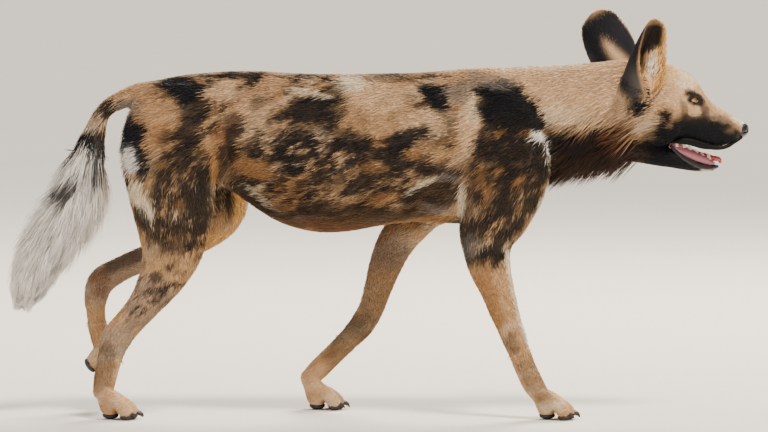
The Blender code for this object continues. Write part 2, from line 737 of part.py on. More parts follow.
def jaw_trough():
    """The hollow that the tongue lies in."""
    path = (
        (0.493, 0.0, 0.4640, 0.0105, 0.0205),
        (0.512, 0.0, 0.4625, 0.0100, 0.0210),
        (0.535, 0.0, 0.4560, 0.0105, 0.0195),
        (0.556, 0.0, 0.4500, 0.0100, 0.0170),
        (0.576, 0.0, 0.4470, 0.0085, 0.0130),
    )
    return loft(limb_rings(path, 10)[::RINGS_PER_SPAN])


def head_nodes():
    """The nodes that turn with the head: head, jaw, tongue, nose, eyes and ears."""
    whole = head_whole()
    jaw_region = prism(JAW_CUT, -FAR, FAR)
    jaw = kept_inside(whole, jaw_region)
    jaw = cut(jaw, jaw_trough())
    jaw = fused([largest(jaw)] + jaw_teeth())
    skull = cut(whole, grown(jaw_region))
    skull = eye_openings(skull)
    skull = fused([skull] + skull_teeth())
    skull = kept_inside(skull, prism(HEAD_CUT, -FAR, FAR))
    nodes = {"head": largest(skull), "lower_jaw": jaw}
    nodes["tongue"] = largest(cut(tongue(), grown(jaw)))
    nodes["nose"] = largest(cut(nose_pad(), grown(skull)))
    for side, name in ((-1, "right_eye"), (1, "left_eye")):
        centre, turn = eye_frame(side)
        nodes[name] = ball(centre, (EYE_RADIUS,) * 3, 12, 7, turn)
    for mesh in nodes.values():
        turned_head(mesh)
    return nodes


def body_nodes():
    """Torso, neck, tail dock and legs, parted from one skin."""
    pieces = [loft(trunk_rings(TORSO)), loft(trunk_rings(NECK))]
    for limb in (RIGHT_FORELEG, LEFT_FORELEG, RIGHT_HIND_LEG, LEFT_HIND_LEG, TAIL_DOCK):
        pieces.append(loft(limb_rings(limb)))
    rest = skin(pieces, BODY_VOXEL, BODY_TRIANGLES)
    rest = cut(rest, turned_head(grown(prism(HEAD_CUT, -FAR, FAR))))
    below = grown(prism(BRUSH_CUT, -0.05, 0.05))
    for name, outline in PAW_CUTS.items():
        side = -FAR if name.startswith("right") else FAR
        rest = cut(rest, grown(prism(outline, 0.012 * math.copysign(1, side), side)))
    nodes = {}
    for name, (outline, across) in BODY_CUTS.items():
        region = prism(outline, *across)
        node = kept_inside(rest, region)
        if name == "tail_dock":
            node = cut(node, below)
        nodes[name] = largest(node)
        rest = cut(rest, grown(region))
    nodes["torso"] = largest(rest)
    return nodes


def lock(points, outward, width, thickness):
    """A lock along its points: a flat underside, a low ridge above and a pointed tip."""
    points, outward = np.array(points), np.array(outward)
    along = np.gradient(points, axis=0)
    across = np.cross(along, outward)
    across /= np.linalg.norm(across, axis=1)[:, None]
    up = np.cross(across, along)
    up /= np.linalg.norm(up, axis=1)[:, None]
    rings = []
    for i, (share_wide, share_thick) in enumerate(LOCK_TAPER):
        wide = across[i] * width * share_wide
        thick = up[i] * thickness * share_thick
        rings.append([points[i] + wide, points[i] + thick, points[i] - wide])
    return loft(np.array(rings))


def brush_locks(draw):
    """Rows of locks down the tail, each from the core out to the outline of the brush."""
    rows = spline(TAIL_BRUSH)
    steps = np.linalg.norm(np.diff(rows[:, :3], axis=0), axis=1)
    length = np.concatenate([[0], np.cumsum(steps)])
    ways = np.gradient(rows[:, :3], length, axis=0)
    locks = []
    for r in range(BRUSH_ROWS):
        start = length[-1] * (BRUSH_FIRST + (BRUSH_LAST - BRUSH_FIRST) * r / (BRUSH_ROWS - 1))
        for k in range(BRUSH_AROUND):
            turn = 2 * math.pi * (k + 0.5 * (r % 2) + draw.uniform(-0.12, 0.12)) / BRUSH_AROUND
            reach = min(BRUSH_LOCK * draw.uniform(0.88, 1.12), (length[-1] - start) * 1.04)
            sway = draw.uniform(-0.25, 0.25)
            proud = draw.uniform(0.92, 1.04)
            points, outward = [], []
            for share in (0.0, 0.3, 0.65, 1.0):
                at = start + reach * share
                x, y, z, deep, wide = (np.interp(at, length, column) for column in rows.T)
                along = np.array([np.interp(at, length, column) for column in ways.T])
                along /= np.linalg.norm(along)
                side = np.array([0.0, 1.0, 0.0])
                depth = np.cross(along, side)
                rooted = BRUSH_CORE * 0.8
                out = rooted + (proud - rooted) * (1 - (1 - share) ** 1.7)
                angle = turn + sway * share
                way = depth * math.cos(angle) * deep + side * math.sin(angle) * wide
                points.append(np.array([x, y, z]) + way * out + along * (at - min(at, length[-1])))
                outward.append(way / np.linalg.norm(way))
            locks.append(lock(points, outward, BRUSH_LOCK_WIDTH, BRUSH_LOCK_THICKNESS))
    return locks


def tail_brush():
    """The long-haired end of the tail: a slim core under overlapping locks."""
    core = []
    for x, y, z, deep, wide in TAIL_BRUSH[:-1]:
        narrowed = min(1, (TAIL_BRUSH[0][2] - z) / BRUSH_FULL)
        share = BRUSH_FULL_SHARE + (BRUSH_CORE - BRUSH_FULL_SHARE) * narrowed
        core.append((x, y, z, deep * share, wide * share))
    draw = random.Random(5)
    whole = fused([loft(limb_rings(core, 10)[::RINGS_PER_SPAN])] + brush_locks(draw))
    return largest(kept_inside(whole, prism(BRUSH_CUT, -FAR, FAR)))


def ruff_locks(draw):
    """Locks that hang from the throat, down and back along the lie of the hair."""
    rows = spline(NECK)
    locks = []
    for r in range(RUFF_ROWS):
        x = RUFF_FROM + (RUFF_TO - RUFF_FROM) * r / (RUFF_ROWS - 1)
        top, bottom, half = (np.interp(x, rows[:, 0], rows[:, i]) for i in (1, 2, 3))
        middle, deep = (top + bottom) / 2, (top - bottom) / 2
        for k in range(RUFF_ACROSS):
            angle = RUFF_SPREAD * ((k + 0.5 * (r % 2) - 0.25) / (RUFF_ACROSS - 1) - 0.5)
            angle += draw.uniform(-0.05, 0.05)
            way = np.array([0.0, math.sin(angle) * half, -math.cos(angle) * deep])
            outward = way / np.linalg.norm(way)
            hang = RUFF_LENGTH * (0.62 + 0.38 * math.cos(angle)) * draw.uniform(0.9, 1.1)
            root = np.array([x, 0, middle]) + way * 0.90
            points, normals = [], []
            for share in (0.0, 0.3, 0.65, 1.0):
                fall = np.array([-0.80 * hang * share, 0, -0.28 * hang * share**2])
                lift = outward * RUFF_DEPTH * math.cos(angle / 1.6) * math.sin(share * math.pi * 0.55)
                points.append(root + fall + lift)
                normals.append(outward)
            locks.append(lock(points, normals, RUFF_LOCK_WIDTH, RUFF_LOCK_THICKNESS))
    return locks


def build():
    nodes = head_nodes()
    nodes.update(body_nodes())
    for name in PAWS:
        nodes[name] = paw(name)
    nodes["tail_brush"] = tail_brush()
    neck = fused([nodes["neck"]] + ruff_locks(random.Random(8)))
    for name in ("torso", "head", "lower_jaw", "right_upper_arm", "left_upper_arm"):
        neck = cut(neck, grown(nodes[name]))
    nodes["neck"] = largest(neck)
    for name in EARS:
        shell = ear_shell(name)
        for under in ("head", "neck"):
            shell = cut(shell, grown(nodes[under]))
        nodes[name] = largest(shell)
    return nodes


def centred(nodes):
    """The nodes moved so that the middle of their box is over the origin."""
    points = np.vstack([[v.co for v in mesh.vertices] for mesh in nodes.values()])
    middle = (points.min(axis=0) + points.max(axis=0)) / 2
    for mesh in nodes.values():
        mesh.transform(Matrix.Translation((-middle[0], -middle[1], 0)))
    return nodes


COLOURS = {
    "nose": (DARK, 0.35),
    "tongue": ((0.60, 0.16, 0.15), 0.3),
    "lower_jaw": (DARK, 0.8),
    "right_eye": ((0.45, 0.22, 0.05), 0.1),
    "left_eye": ((0.45, 0.22, 0.05), 0.1),
    "right_ear": (DARK, 0.9),
    "left_ear": (DARK, 0.9),
    "torso": (BROWN, 0.9),
    "tail_brush": (WHITE, 0.9),
}

for old in list(bpy.data.objects):
    bpy.data.objects.remove(old)
CUTTERS = collection("cutters")
PARTS = collection("african_wild_dog")
for node_name, node_mesh in centred(build()).items():
    colour, roughness = COLOURS.get(node_name, (TAN, 0.9))
    node_mesh.materials.clear()
    node_mesh.materials.append(material(node_name, colour, roughness))
    node_mesh.shade_smooth()
    placed(node_name, node_mesh, PARTS)
CUTTERS.hide_render = True
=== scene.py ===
"""African wild dog, life size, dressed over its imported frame.

The dog walks to +X on Z = 0 with its right side at -Y. The stations of trunk, limbs and
tail are the ones that the frame was lofted from. One skin lies inside them by the depth
of the coat, and tufts of solid hair lie over it along the body.
"""
import math

import bmesh
import bpy
import numpy as np
from mathutils import Matrix, Vector


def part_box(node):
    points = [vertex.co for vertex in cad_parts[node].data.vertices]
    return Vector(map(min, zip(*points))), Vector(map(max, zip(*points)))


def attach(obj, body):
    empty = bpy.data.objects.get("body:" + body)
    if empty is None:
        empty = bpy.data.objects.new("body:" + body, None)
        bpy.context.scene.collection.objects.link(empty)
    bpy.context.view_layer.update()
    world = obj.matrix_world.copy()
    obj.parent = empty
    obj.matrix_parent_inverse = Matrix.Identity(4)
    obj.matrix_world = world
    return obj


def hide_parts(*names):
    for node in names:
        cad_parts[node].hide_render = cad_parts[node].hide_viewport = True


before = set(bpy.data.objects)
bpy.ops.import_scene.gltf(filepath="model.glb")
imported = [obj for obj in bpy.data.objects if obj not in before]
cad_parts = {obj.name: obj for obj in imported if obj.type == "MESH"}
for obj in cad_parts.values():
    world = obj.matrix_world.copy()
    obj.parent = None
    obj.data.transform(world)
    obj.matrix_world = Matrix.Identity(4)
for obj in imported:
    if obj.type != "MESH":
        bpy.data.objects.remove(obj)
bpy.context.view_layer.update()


def linear(code):
    """A hex colour turned from sRGB to linear."""
    values = [int(code[i : i + 2], 16) / 255 for i in (1, 3, 5)]
    return [v / 12.92 if v <= 0.04045 else ((v + 0.055) / 1.055) ** 2.4 for v in values]


# Lengths are in metres. The head turns to the dog's left about an upright axis at the nape
HEAD_YAW = math.radians(8)
NAPE = (0.43, 0.0, 0.53)
# The neck takes up the head's turn between these two stations
NECK_STILL, NECK_TURNED = 0.36, 0.425
# Grid of each skin, and where head and body are joined
BODY_VOXEL, HEAD_VOXEL, PAW_VOXEL = 0.0048, 0.0024, 0.0025
SEAM = 0.400
# Height of the lifted paw's joint over its pads, and the spacing of toes
LIFTED_JOINT, TOE_PITCH = 0.044, 0.0122
# The left eye's ball, its place and how far outward it looks, and the ball of its lids
EYE_RADIUS = 0.0115
EYE_CENTRE = (0.5330, 0.0365, 0.5515)
EYE_FACING = math.radians(50)
LID_RADIUS = 0.0145
# Middle of the slit between the lids, from the eye's centre along its line of sight
SLIT_AT = np.array([0.013, 0, -0.0005])
# The hollow of the mouth
PALATE, PALATE_RADII = (0.553, 0, 0.4665), (0.062, 0.0215, 0.0125)
# The head is what lies ahead of the nape and above this height
HEAD_ABOVE = 0.38
# The coat of the legs lies below this height
LEGS_BELOW = 0.30
EAR_HEIGHT, EAR_THICKNESS = 0.138, 0.0042
NOSE_TIP = (0.660, 0.0, 0.500)
# Above this height markings of the left side slide away from those of the right
LEG_TOP = 0.32
LEFT_SHIFT = (0.055, 0.025)
# Inner faces of the left legs lie between the middle and this distance from it
LEG_INNER = 0.056
# Their outer faces lie beyond this one
LEG_OUTER = 0.074
# Tail markings keep to this distance from the middle
TAIL_REACH = 0.043
# Streaks of the coat fall back by this slope
LIE_SLOPE = -0.45
# Spacing of the ribs, and how far under the skin each hair starts
RIB_PITCH, ROOT_SINK = 0.026, 0.0006
# Square metres of skin to one tuft
HEAD_TUFT, BODY_TUFT, LEG_TUFT, FOOT_TUFT, RUFF_TUFT = 4.5e-6, 10.4e-6, 8.8e-6, 6.0e-6, 10.5e-6
# Hairs on each ear: over both faces, along the inner edges, and round the foot
VELVET, FRINGE, SKIRT = 8000, 2600, 1300
# What carries hair is darker than the hair, by these shares of its colour: painted shade of the
# hair over it
SKIN_SHADE, WALL_SHADE = 0.82, 0.8
# Flesh and hair keep this far above the floor
FLOOR_GAP = 0.0003
# Width of one tuft on the unwrap
PATCH = 0.003
# Hairs of the brush, and the area of its core that they are spread over
TAIL_HAIRS, CORE_AREA = 8300, 0.030
# The picture's pixels to a metre, its column at X = 0 and its row at the floor
PIXELS_A_METRE, MIDDLE_COLUMN, FLOOR_ROW = 575, 380, 416
# The picture shows the turned head this much shorter, and slid forward by this many metres
HEAD_SHORT, HEAD_SLIDE = 0.99, 0.006
# Below 1, so that patches reach a little past their own ellipses
PATCH_REACH = 0.80
# How far each tuft's colour is taken from its root: along it and across it
SPREAD_ALONG, SPREAD_ACROSS = 0.0058, 0.0024
# Locks of the brush: their spacing round it and along it
LOCK_ANGLE, LOCK_STEP = math.radians(30), 0.03
# Half sizes of the brush's core, as shares of the brush's own at each station
CORE_SHARES = (0.88, 0.82, 0.66, 0.56, 0.50, 0.48, 0.46, 0.40, 0.30)
# Half size of the studio floor, so large that no horizon shows
FLOOR = 60.0
# Which way along an ear's arc its front margin lies
EAR_FRONT = {"right_ear": 1, "left_ear": -1}
# Camera: sensor in millimetres and width of the picture at its aim; then its distance, its
# angle above level in degrees, and its aim
SENSOR, FRAME_WIDTH = 36.0, 1.336
CAMERA_DISTANCE, CAMERA_RISE, CAMERA_AIM = 9.0, 4.0, (0.007, 0.0, 0.348)

# Trunk stations: x, top, bottom, half width, share of the height where it is widest, squareness
TORSO = (
    (-0.432, 0.556, 0.520, 0.018, 0.5, 2.0),
    (-0.424, 0.570, 0.500, 0.034, 0.5, 2.0),
    (-0.405, 0.581, 0.480, 0.046, 0.5, 2.0),
    (-0.375, 0.588, 0.455, 0.055, 0.5, 2.0),
    (-0.335, 0.595, 0.430, 0.063, 0.5, 2.0),
    (-0.290, 0.599, 0.405, 0.067, 0.5, 2.1),
    (-0.250, 0.601, 0.385, 0.066, 0.5, 2.1),
    (-0.210, 0.601, 0.356, 0.068, 0.5, 2.1),
    (-0.175, 0.599, 0.336, 0.075, 0.48, 2.1),
    (-0.135, 0.597, 0.323, 0.083, 0.46, 2.1),
    (-0.095, 0.596, 0.318, 0.088, 0.45, 2.1),
    (-0.050, 0.596, 0.321, 0.090, 0.45, 2.1),
    (0.000, 0.597, 0.330, 0.090, 0.46, 2.1),
    (0.050, 0.598, 0.336, 0.088, 0.48, 2.1),
    (0.100, 0.601, 0.335, 0.083, 0.5, 2.0),
    (0.150, 0.605, 0.334, 0.077, 0.5, 2.0),
    (0.190, 0.607, 0.344, 0.070, 0.5, 2.0),
    (0.230, 0.607, 0.362, 0.060, 0.5, 2.0),
    (0.260, 0.603, 0.388, 0.048, 0.5, 2.0),
    (0.285, 0.585, 0.415, 0.034, 0.5, 2.0),
    (0.298, 0.550, 0.450, 0.018, 0.5, 2.0),
)
NECK = (
    (0.180, 0.600, 0.400, 0.070, 0.5, 2.0),
    (0.220, 0.606, 0.390, 0.066, 0.5, 2.0),
    (0.260, 0.610, 0.400, 0.062, 0.5, 2.0),
    (0.300, 0.612, 0.417, 0.059, 0.5, 2.0),
    (0.340, 0.614, 0.427, 0.057, 0.5, 2.0),
    (0.380, 0.617, 0.437, 0.057, 0.5, 2.0),
    (0.415, 0.620, 0.444, 0.059, 0.5, 2.0),
    (0.445, 0.618, 0.452, 0.060, 0.5, 2.0),
)
SKULL = (
    (0.395, 0.617, 0.455, 0.056, 0.5, 2.0),
    (0.430, 0.620, 0.450, 0.062, 0.5, 2.0),
    (0.460, 0.618, 0.452, 0.067, 0.48, 2.0),
    (0.487, 0.616, 0.462, 0.068, 0.45, 2.0),
    (0.506, 0.612, 0.474, 0.064, 0.43, 2.0),
    (0.522, 0.606, 0.476, 0.0575, 0.40, 2.0),
    (0.538, 0.597, 0.473, 0.0485, 0.37, 2.1),
    (0.552, 0.583, 0.468, 0.0405, 0.34, 2.2),
    (0.565, 0.562, 0.4655, 0.0355, 0.35, 2.3),
    (0.580, 0.544, 0.4640, 0.0325, 0.40, 2.4),
    (0.596, 0.5335, 0.4655, 0.030, 0.42, 2.4),
    (0.612, 0.5245, 0.4735, 0.0265, 0.45, 2.4),
    (0.626, 0.516, 0.482, 0.0215, 0.5, 2.3),
    (0.634, 0.510, 0.487, 0.015, 0.5, 2.2),
)
JAW = (
    (0.430, 0.500, 0.442, 0.046, 0.5, 2.0),
    (0.465, 0.488, 0.437, 0.047, 0.5, 2.0),
    (0.487, 0.478, 0.4335, 0.044, 0.5, 2.0),
    (0.506, 0.466, 0.431, 0.039, 0.6, 2.2),
    (0.520, 0.4585, 0.4285, 0.0345, 0.65, 2.3),
    (0.533, 0.451, 0.4265, 0.0305, 0.65, 2.3),
    (0.548, 0.4435, 0.4245, 0.0275, 0.65, 2.3),
    (0.562, 0.4395, 0.4235, 0.0245, 0.65, 2.3),
    (0.575, 0.438, 0.4245, 0.0205, 0.65, 2.2),
    (0.584, 0.4365, 0.427, 0.0145, 0.6, 2.0),
    (0.589, 0.435, 0.4305, 0.007, 0.5, 2.0),
)
# Limb stations: x, y, z, half size along the body, half size across it
RIGHT_FORELEG = (
    (0.190, -0.045, 0.560, 0.035, 0.018),
    (0.212, -0.052, 0.510, 0.060, 0.026),
    (0.222, -0.056, 0.455, 0.074, 0.031),
    (0.214, -0.060, 0.405, 0.074, 0.034),
    (0.200, -0.063, 0.360, 0.064, 0.033),
    (0.187, -0.064, 0.322, 0.053, 0.030),
    (0.185, -0.065, 0.292, 0.043, 0.026),
    (0.190, -0.066, 0.262, 0.038, 0.023),
    (0.2026, -0.067, 0.224, 0.031, 0.021),
    (0.213, -0.068, 0.191, 0.0275, 0.0195),
    (0.2225, -0.068, 0.165, 0.0245, 0.019),
    (0.2313, -0.069, 0.142, 0.0235, 0.019),
    (0.2405, -0.070, 0.117, 0.0205, 0.018),
    (0.251, -0.070, 0.090, 0.0195, 0.018),
    (0.264, -0.071, 0.062, 0.0195, 0.020),
    (0.276, -0.071, 0.044, 0.0170, 0.021),
)
LEFT_FORELEG = (
    (0.190, 0.045, 0.560, 0.035, 0.018),
    (0.212, 0.052, 0.510, 0.060, 0.026),
    (0.218, 0.056, 0.460, 0.071, 0.030),
    (0.185, 0.060, 0.413, 0.070, 0.033),
    (0.131, 0.064, 0.385, 0.050, 0.031),
    (0.083, 0.067, 0.358, 0.040, 0.029),
    (0.048, 0.070, 0.323, 0.036, 0.026),
    (0.027, 0.072, 0.295, 0.034, 0.024),
    (0.0096, 0.074, 0.257, 0.0305, 0.022),
    (-0.0035, 0.076, 0.217, 0.026, 0.0205),
    (-0.0145, 0.078, 0.183, 0.024, 0.0195),
    (-0.028, 0.080, 0.157, 0.0235, 0.019),
    (-0.040, 0.081, 0.141, 0.0225, 0.019),
    (-0.060, 0.083, 0.120, 0.020, 0.018),
    (-0.085, 0.085, 0.095, 0.019, 0.018),
    (-0.108, 0.087, 0.072, 0.019, 0.020),
    (-0.124, 0.088, 0.056, 0.017, 0.021),
)
RIGHT_HIND_LEG = (
    (-0.330, -0.040, 0.560, 0.060, 0.020),
    (-0.352, -0.046, 0.515, 0.083, 0.031),
    (-0.363, -0.050, 0.463, 0.086, 0.036),
    (-0.362, -0.053, 0.419, 0.081, 0.036),
    (-0.358, -0.056, 0.364, 0.073, 0.034),
    (-0.358, -0.058, 0.320, 0.063, 0.030),
    (-0.362, -0.059, 0.286, 0.054, 0.027),
    (-0.373, -0.060, 0.255, 0.045, 0.024),
    (-0.387, -0.061, 0.230, 0.038, 0.022),
    (-0.405, -0.062, 0.203, 0.031, 0.020),
    (-0.424, -0.063, 0.180, 0.0275, 0.019),
    (-0.443, -0.064, 0.158, 0.027, 0.0185),
    (-0.458, -0.065, 0.138, 0.0285, 0.018),
    (-0.4645, -0.065, 0.118, 0.0245, 0.017),
    (-0.4705, -0.066, 0.095, 0.0215, 0.0165),
    (-0.476, -0.067, 0.072, 0.0205, 0.018),
    (-0.480, -0.068, 0.050, 0.0185, 0.021),
)
LEFT_HIND_LEG = (
    (-0.330, 0.040, 0.560, 0.060, 0.020),
    (-0.340, 0.046, 0.515, 0.081, 0.031),
    (-0.335, 0.050, 0.465, 0.083, 0.036),
    (-0.315, 0.053, 0.425, 0.076, 0.036),
    (-0.295, 0.056, 0.392, 0.066, 0.033),
    (-0.285, 0.058, 0.362, 0.054, 0.031),
    (-0.298, 0.059, 0.333, 0.043, 0.027),
    (-0.335, 0.060, 0.305, 0.035, 0.024),
    (-0.375, 0.061, 0.284, 0.028, 0.021),
    (-0.415, 0.062, 0.268, 0.0235, 0.019),
    (-0.455, 0.063, 0.250, 0.0235, 0.018),
    (-0.488, 0.064, 0.229, 0.0255, 0.018),
    (-0.4985, 0.064, 0.202, 0.0225, 0.0175),
    (-0.4995, 0.064, 0.177, 0.0185, 0.0165),
    (-0.497, 0.065, 0.153, 0.0180, 0.016),
    (-0.492, 0.065, 0.131, 0.0180, 0.017),
    (-0.487, 0.065, 0.112, 0.0170, 0.020),
)
TAIL_DOCK = (
    (-0.370, 0.0, 0.560, 0.028, 0.026),
    (-0.400, 0.0, 0.558, 0.026, 0.024),
    (-0.4245, 0.0, 0.555, 0.0235, 0.021),
    (-0.4430, 0.0, 0.551, 0.0190, 0.018),
    (-0.4640, 0.0, 0.542, 0.0160, 0.016),
    (-0.4817, 0.0, 0.526, 0.0155, 0.016),
    (-0.4935, 0.0, 0.500, 0.0195, 0.018),
    (-0.5020, 0.0, 0.474, 0.0260, 0.022),
    (-0.5060, 0.0, 0.455, 0.0300, 0.025),
)
TAIL_BRUSH = (
    (-0.5005, 0.0, 0.479, 0.0250, 0.021),
    (-0.5043, 0.0, 0.4626, 0.0296, 0.024),
    (-0.5148, 0.0, 0.4278, 0.0400, 0.031),
    (-0.525, 0.0, 0.393, 0.0470, 0.036),
    (-0.546, 0.0, 0.3496, 0.0530, 0.040),
    (-0.5739, 0.0, 0.306, 0.0530, 0.038),
    (-0.600, 0.0, 0.2626, 0.0430, 0.031),
    (-0.6174, 0.0, 0.219, 0.0280, 0.020),
    (-0.626, 0.0, 0.190, 0.0060, 0.006),
)

# Each paw: last joint of the leg, its turn about Z, its tilt about Y, and whether it stands
PAWS = {
    "right_fore_paw": (RIGHT_FORELEG, math.radians(-3), 0.0, True),
    "left_fore_paw": (LEFT_FORELEG, math.radians(3), 0.0, True),
    "right_hind_paw": (RIGHT_HIND_LEG, math.radians(-4), 0.0, True),
    "left_hind_paw": (LEFT_HIND_LEG, math.radians(4), math.radians(55), False),
}
PAW_CUTS = {
    "right_fore_paw": ((0.15, 0.083), (0.34, 0.155), (0.40, -0.05), (0.15, -0.05)),
    "left_fore_paw": (
        (-0.13, 0.189), (0.075, -0.012), (0.075, -0.05), (-0.25, -0.05), (-0.25, 0.189),
    ),
    "right_hind_paw": ((-0.55, 0.128), (-0.38, 0.084), (-0.38, -0.05), (-0.55, -0.05)),
    "left_hind_paw": ((-0.56, 0.152), (-0.42, 0.166), (-0.40, 0.02), (-0.56, 0.02)),
}
# Ear: share of the height, radius of the cup and half angle that it wraps
EAR_ROWS = (
    (0.00, 0.025, 150),
    (0.14, 0.032, 138),
    (0.28, 0.040, 112),
    (0.42, 0.047, 87),
    (0.56, 0.053, 68),
    (0.70, 0.057, 55),
    (0.82, 0.060, 45),
    (0.91, 0.062, 34),
    (0.97, 0.063, 22),
    (1.00, 0.063, 8),
)
EARS = {
    "right_ear": ((0.412, -0.048, 0.570), (0.30, -0.38, 0.87), (0.77, -0.638, 0.0)),
    "left_ear": ((0.425, 0.046, 0.574), (-0.34, 0.30, 0.89), (0.32, 0.95, 0.0)),
}

# Each limb, and the height that its own lie of hair reaches up to
LIMBS = (
    (RIGHT_FORELEG, 0.38),
    (LEFT_FORELEG, 0.38),
    (RIGHT_HIND_LEG, 0.40),
    (LEFT_HIND_LEG, 0.40),
)

# Mouth: bars as x, y, z, half height, half width, from the right corner to the middle
LOWER_LIP = (
    (0.500, -0.0350, 0.4715, 0.0026, 0.0022),
    (0.508, -0.0348, 0.4620, 0.0034, 0.0025),
    (0.522, -0.0325, 0.4505, 0.0040, 0.0027),
    (0.540, -0.0285, 0.4405, 0.0042, 0.0027),
    (0.556, -0.0248, 0.4340, 0.0040, 0.0026),
    (0.570, -0.0210, 0.4315, 0.0034, 0.0026),
    (0.581, -0.0148, 0.4320, 0.0030, 0.0025),
    (0.5875, -0.0068, 0.4325, 0.0028, 0.0024),
    (0.5890, 0.0, 0.4325, 0.0028, 0.0024),
)
UPPER_LIP = (
    (0.502, -0.0345, 0.4785, 0.0026, 0.0022),
    (0.520, -0.0382, 0.4795, 0.0052, 0.0024),
    (0.538, -0.0358, 0.4768, 0.0060, 0.0026),
    (0.556, -0.0314, 0.4712, 0.0058, 0.0028),
    (0.572, -0.0284, 0.4680, 0.0042, 0.0028),
    (0.588, -0.0258, 0.4664, 0.0034, 0.0030),
    (0.603, -0.0232, 0.4694, 0.0032, 0.0028),
    (0.617, -0.0186, 0.4770, 0.0030, 0.0026),
    (0.628, -0.0112, 0.4825, 0.0030, 0.0024),
    (0.632, 0.0, 0.4845, 0.0026, 0.0022),
)
LOWER_GUM = (
    (0.504, -0.0310, 0.4685, 0.0056, 0.0036),
    (0.522, -0.0285, 0.4615, 0.0078, 0.0038),
    (0.540, -0.0248, 0.4540, 0.0082, 0.0038),
    (0.556, -0.0208, 0.4475, 0.0076, 0.0036),
    (0.569, -0.0160, 0.4425, 0.0062, 0.0036),
    (0.578, -0.0095, 0.4385, 0.0046, 0.0034),
    (0.5815, 0.0, 0.4370, 0.0038, 0.0032),
)
UPPER_GUM = (
    (0.520, -0.0285, 0.4815, 0.0044, 0.0032),
    (0.548, -0.0250, 0.4805, 0.0050, 0.0032),
    (0.572, -0.0215, 0.4790, 0.0050, 0.0032),
    (0.592, -0.0190, 0.4795, 0.0044, 0.0032),
    (0.606, -0.0140, 0.4800, 0.0032, 0.0032),
    (0.6125, 0.0, 0.4805, 0.0030, 0.0030),
)
TONGUE = (
    (0.488, 0.0, 0.4630, 0.0055, 0.0160),
    (0.512, 0.0, 0.4620, 0.0075, 0.0172),
    (0.535, 0.0, 0.4585, 0.0080, 0.0158),
    (0.556, 0.0, 0.4520, 0.0075, 0.0125),
    (0.570, 0.0, 0.4490, 0.0066, 0.0092),
    (0.582, 0.0, 0.4475, 0.0052, 0.0082),
    (0.5915, 0.0, 0.4455, 0.0042, 0.0080),
    (0.5950, 0.0, 0.4390, 0.0024, 0.0052),
)
# Cheek lining at the corner of the mouth, of one side
CHEEK = (
    (0.497, -0.0325, 0.4705, 0.0030, 0.0014),
    (0.504, -0.0320, 0.4705, 0.0060, 0.0016),
    (0.511, -0.0312, 0.4695, 0.0080, 0.0017),
    (0.518, -0.0304, 0.4680, 0.0060, 0.0015),
    (0.523, -0.0298, 0.4665, 0.0016, 0.0008),
)
TROUGH = (
    (0.493, 0.0, 0.4640, 0.0105, 0.0205),
    (0.512, 0.0, 0.4625, 0.0100, 0.0210),
    (0.535, 0.0, 0.4560, 0.0105, 0.0195),
    (0.556, 0.0, 0.4500, 0.0100, 0.0170),
    (0.576, 0.0, 0.4470, 0.0085, 0.0130),
)
# A tooth's own point and its side cusps, as shares of its size: lean or offset, height,
# half size along the jaw and half size across it
CROWN = ((0, -0.35, 1, 0.75), (0.3, 0.35, 0.92, 0.66), (0.7, 0.75, 0.50, 0.36), (1, 1, 0.08, 0.08))
CUSP = ((0.7, -0.35, 0.5, 0.5), (0.75, 0.30, 0.34, 0.36), (0.8, 0.55, 0.06, 0.06))
# Cheek teeth from the corner of the mouth forward
CHEEK_SIZES = (1.25, 1.35, 1.1, 0.9, 0.7)
# Muscle and bone: x, z, half sizes, angle, height
RELIEF = (
    (0.195, 0.520, 0.012, 0.060, -20, 0.0050),
    (0.228, 0.500, 0.016, 0.050, -22, -0.0030),
    (0.240, 0.440, 0.034, 0.026, 0, 0.0045),
    (0.158, 0.470, 0.014, 0.055, -12, -0.0050),
    (0.142, 0.385, 0.022, 0.020, 0, 0.0030),
    (0.275, 0.455, 0.012, 0.030, -20, -0.0030),
    (-0.300, 0.560, 0.024, 0.016, 0, 0.0040),
    (-0.400, 0.520, 0.020, 0.018, 0, 0.0040),
    (-0.262, 0.470, 0.012, 0.055, 6, -0.0065),
    (-0.340, 0.440, 0.034, 0.050, 10, 0.0040),
    (-0.215, 0.385, 0.036, 0.008, -38, 0.0035),
    (-0.385, 0.400, 0.012, 0.050, 10, -0.0028),
    (0.300, 0.520, 0.060, 0.018, 10, 0.0022),
    (0.330, 0.470, 0.050, 0.012, 12, -0.0024),
)
TONES = {name: np.array(linear(code)) for name, code in {
    "tan": "#C69D72",
    "ochre": "#AC7C4C",
    "pale": "#F2DFC0",
    "buff": "#E2BD95",
    "white": "#F6F1EA",
    "grey": "#857A72",
    "dark": "#1E1816",
    # Black carries a slight blue tint: painted sky sheen on the black fur
    "black": "#0A0C13",
    "brown": "#3A281D",
    "rust": "#7A4E31",
    # Golden fur, brightened to stand in for sunlight on it: partly painted sunlight
    "gold": "#E9B873",
    # The backs of the ears are blue-black: their blue tint is painted sky sheen on black fur
    "ear": "#1A1A22",
    "hollow": "#20150F",
    "iris": "#E79A33",
    "sclera": "#4A3526",
}.items()}

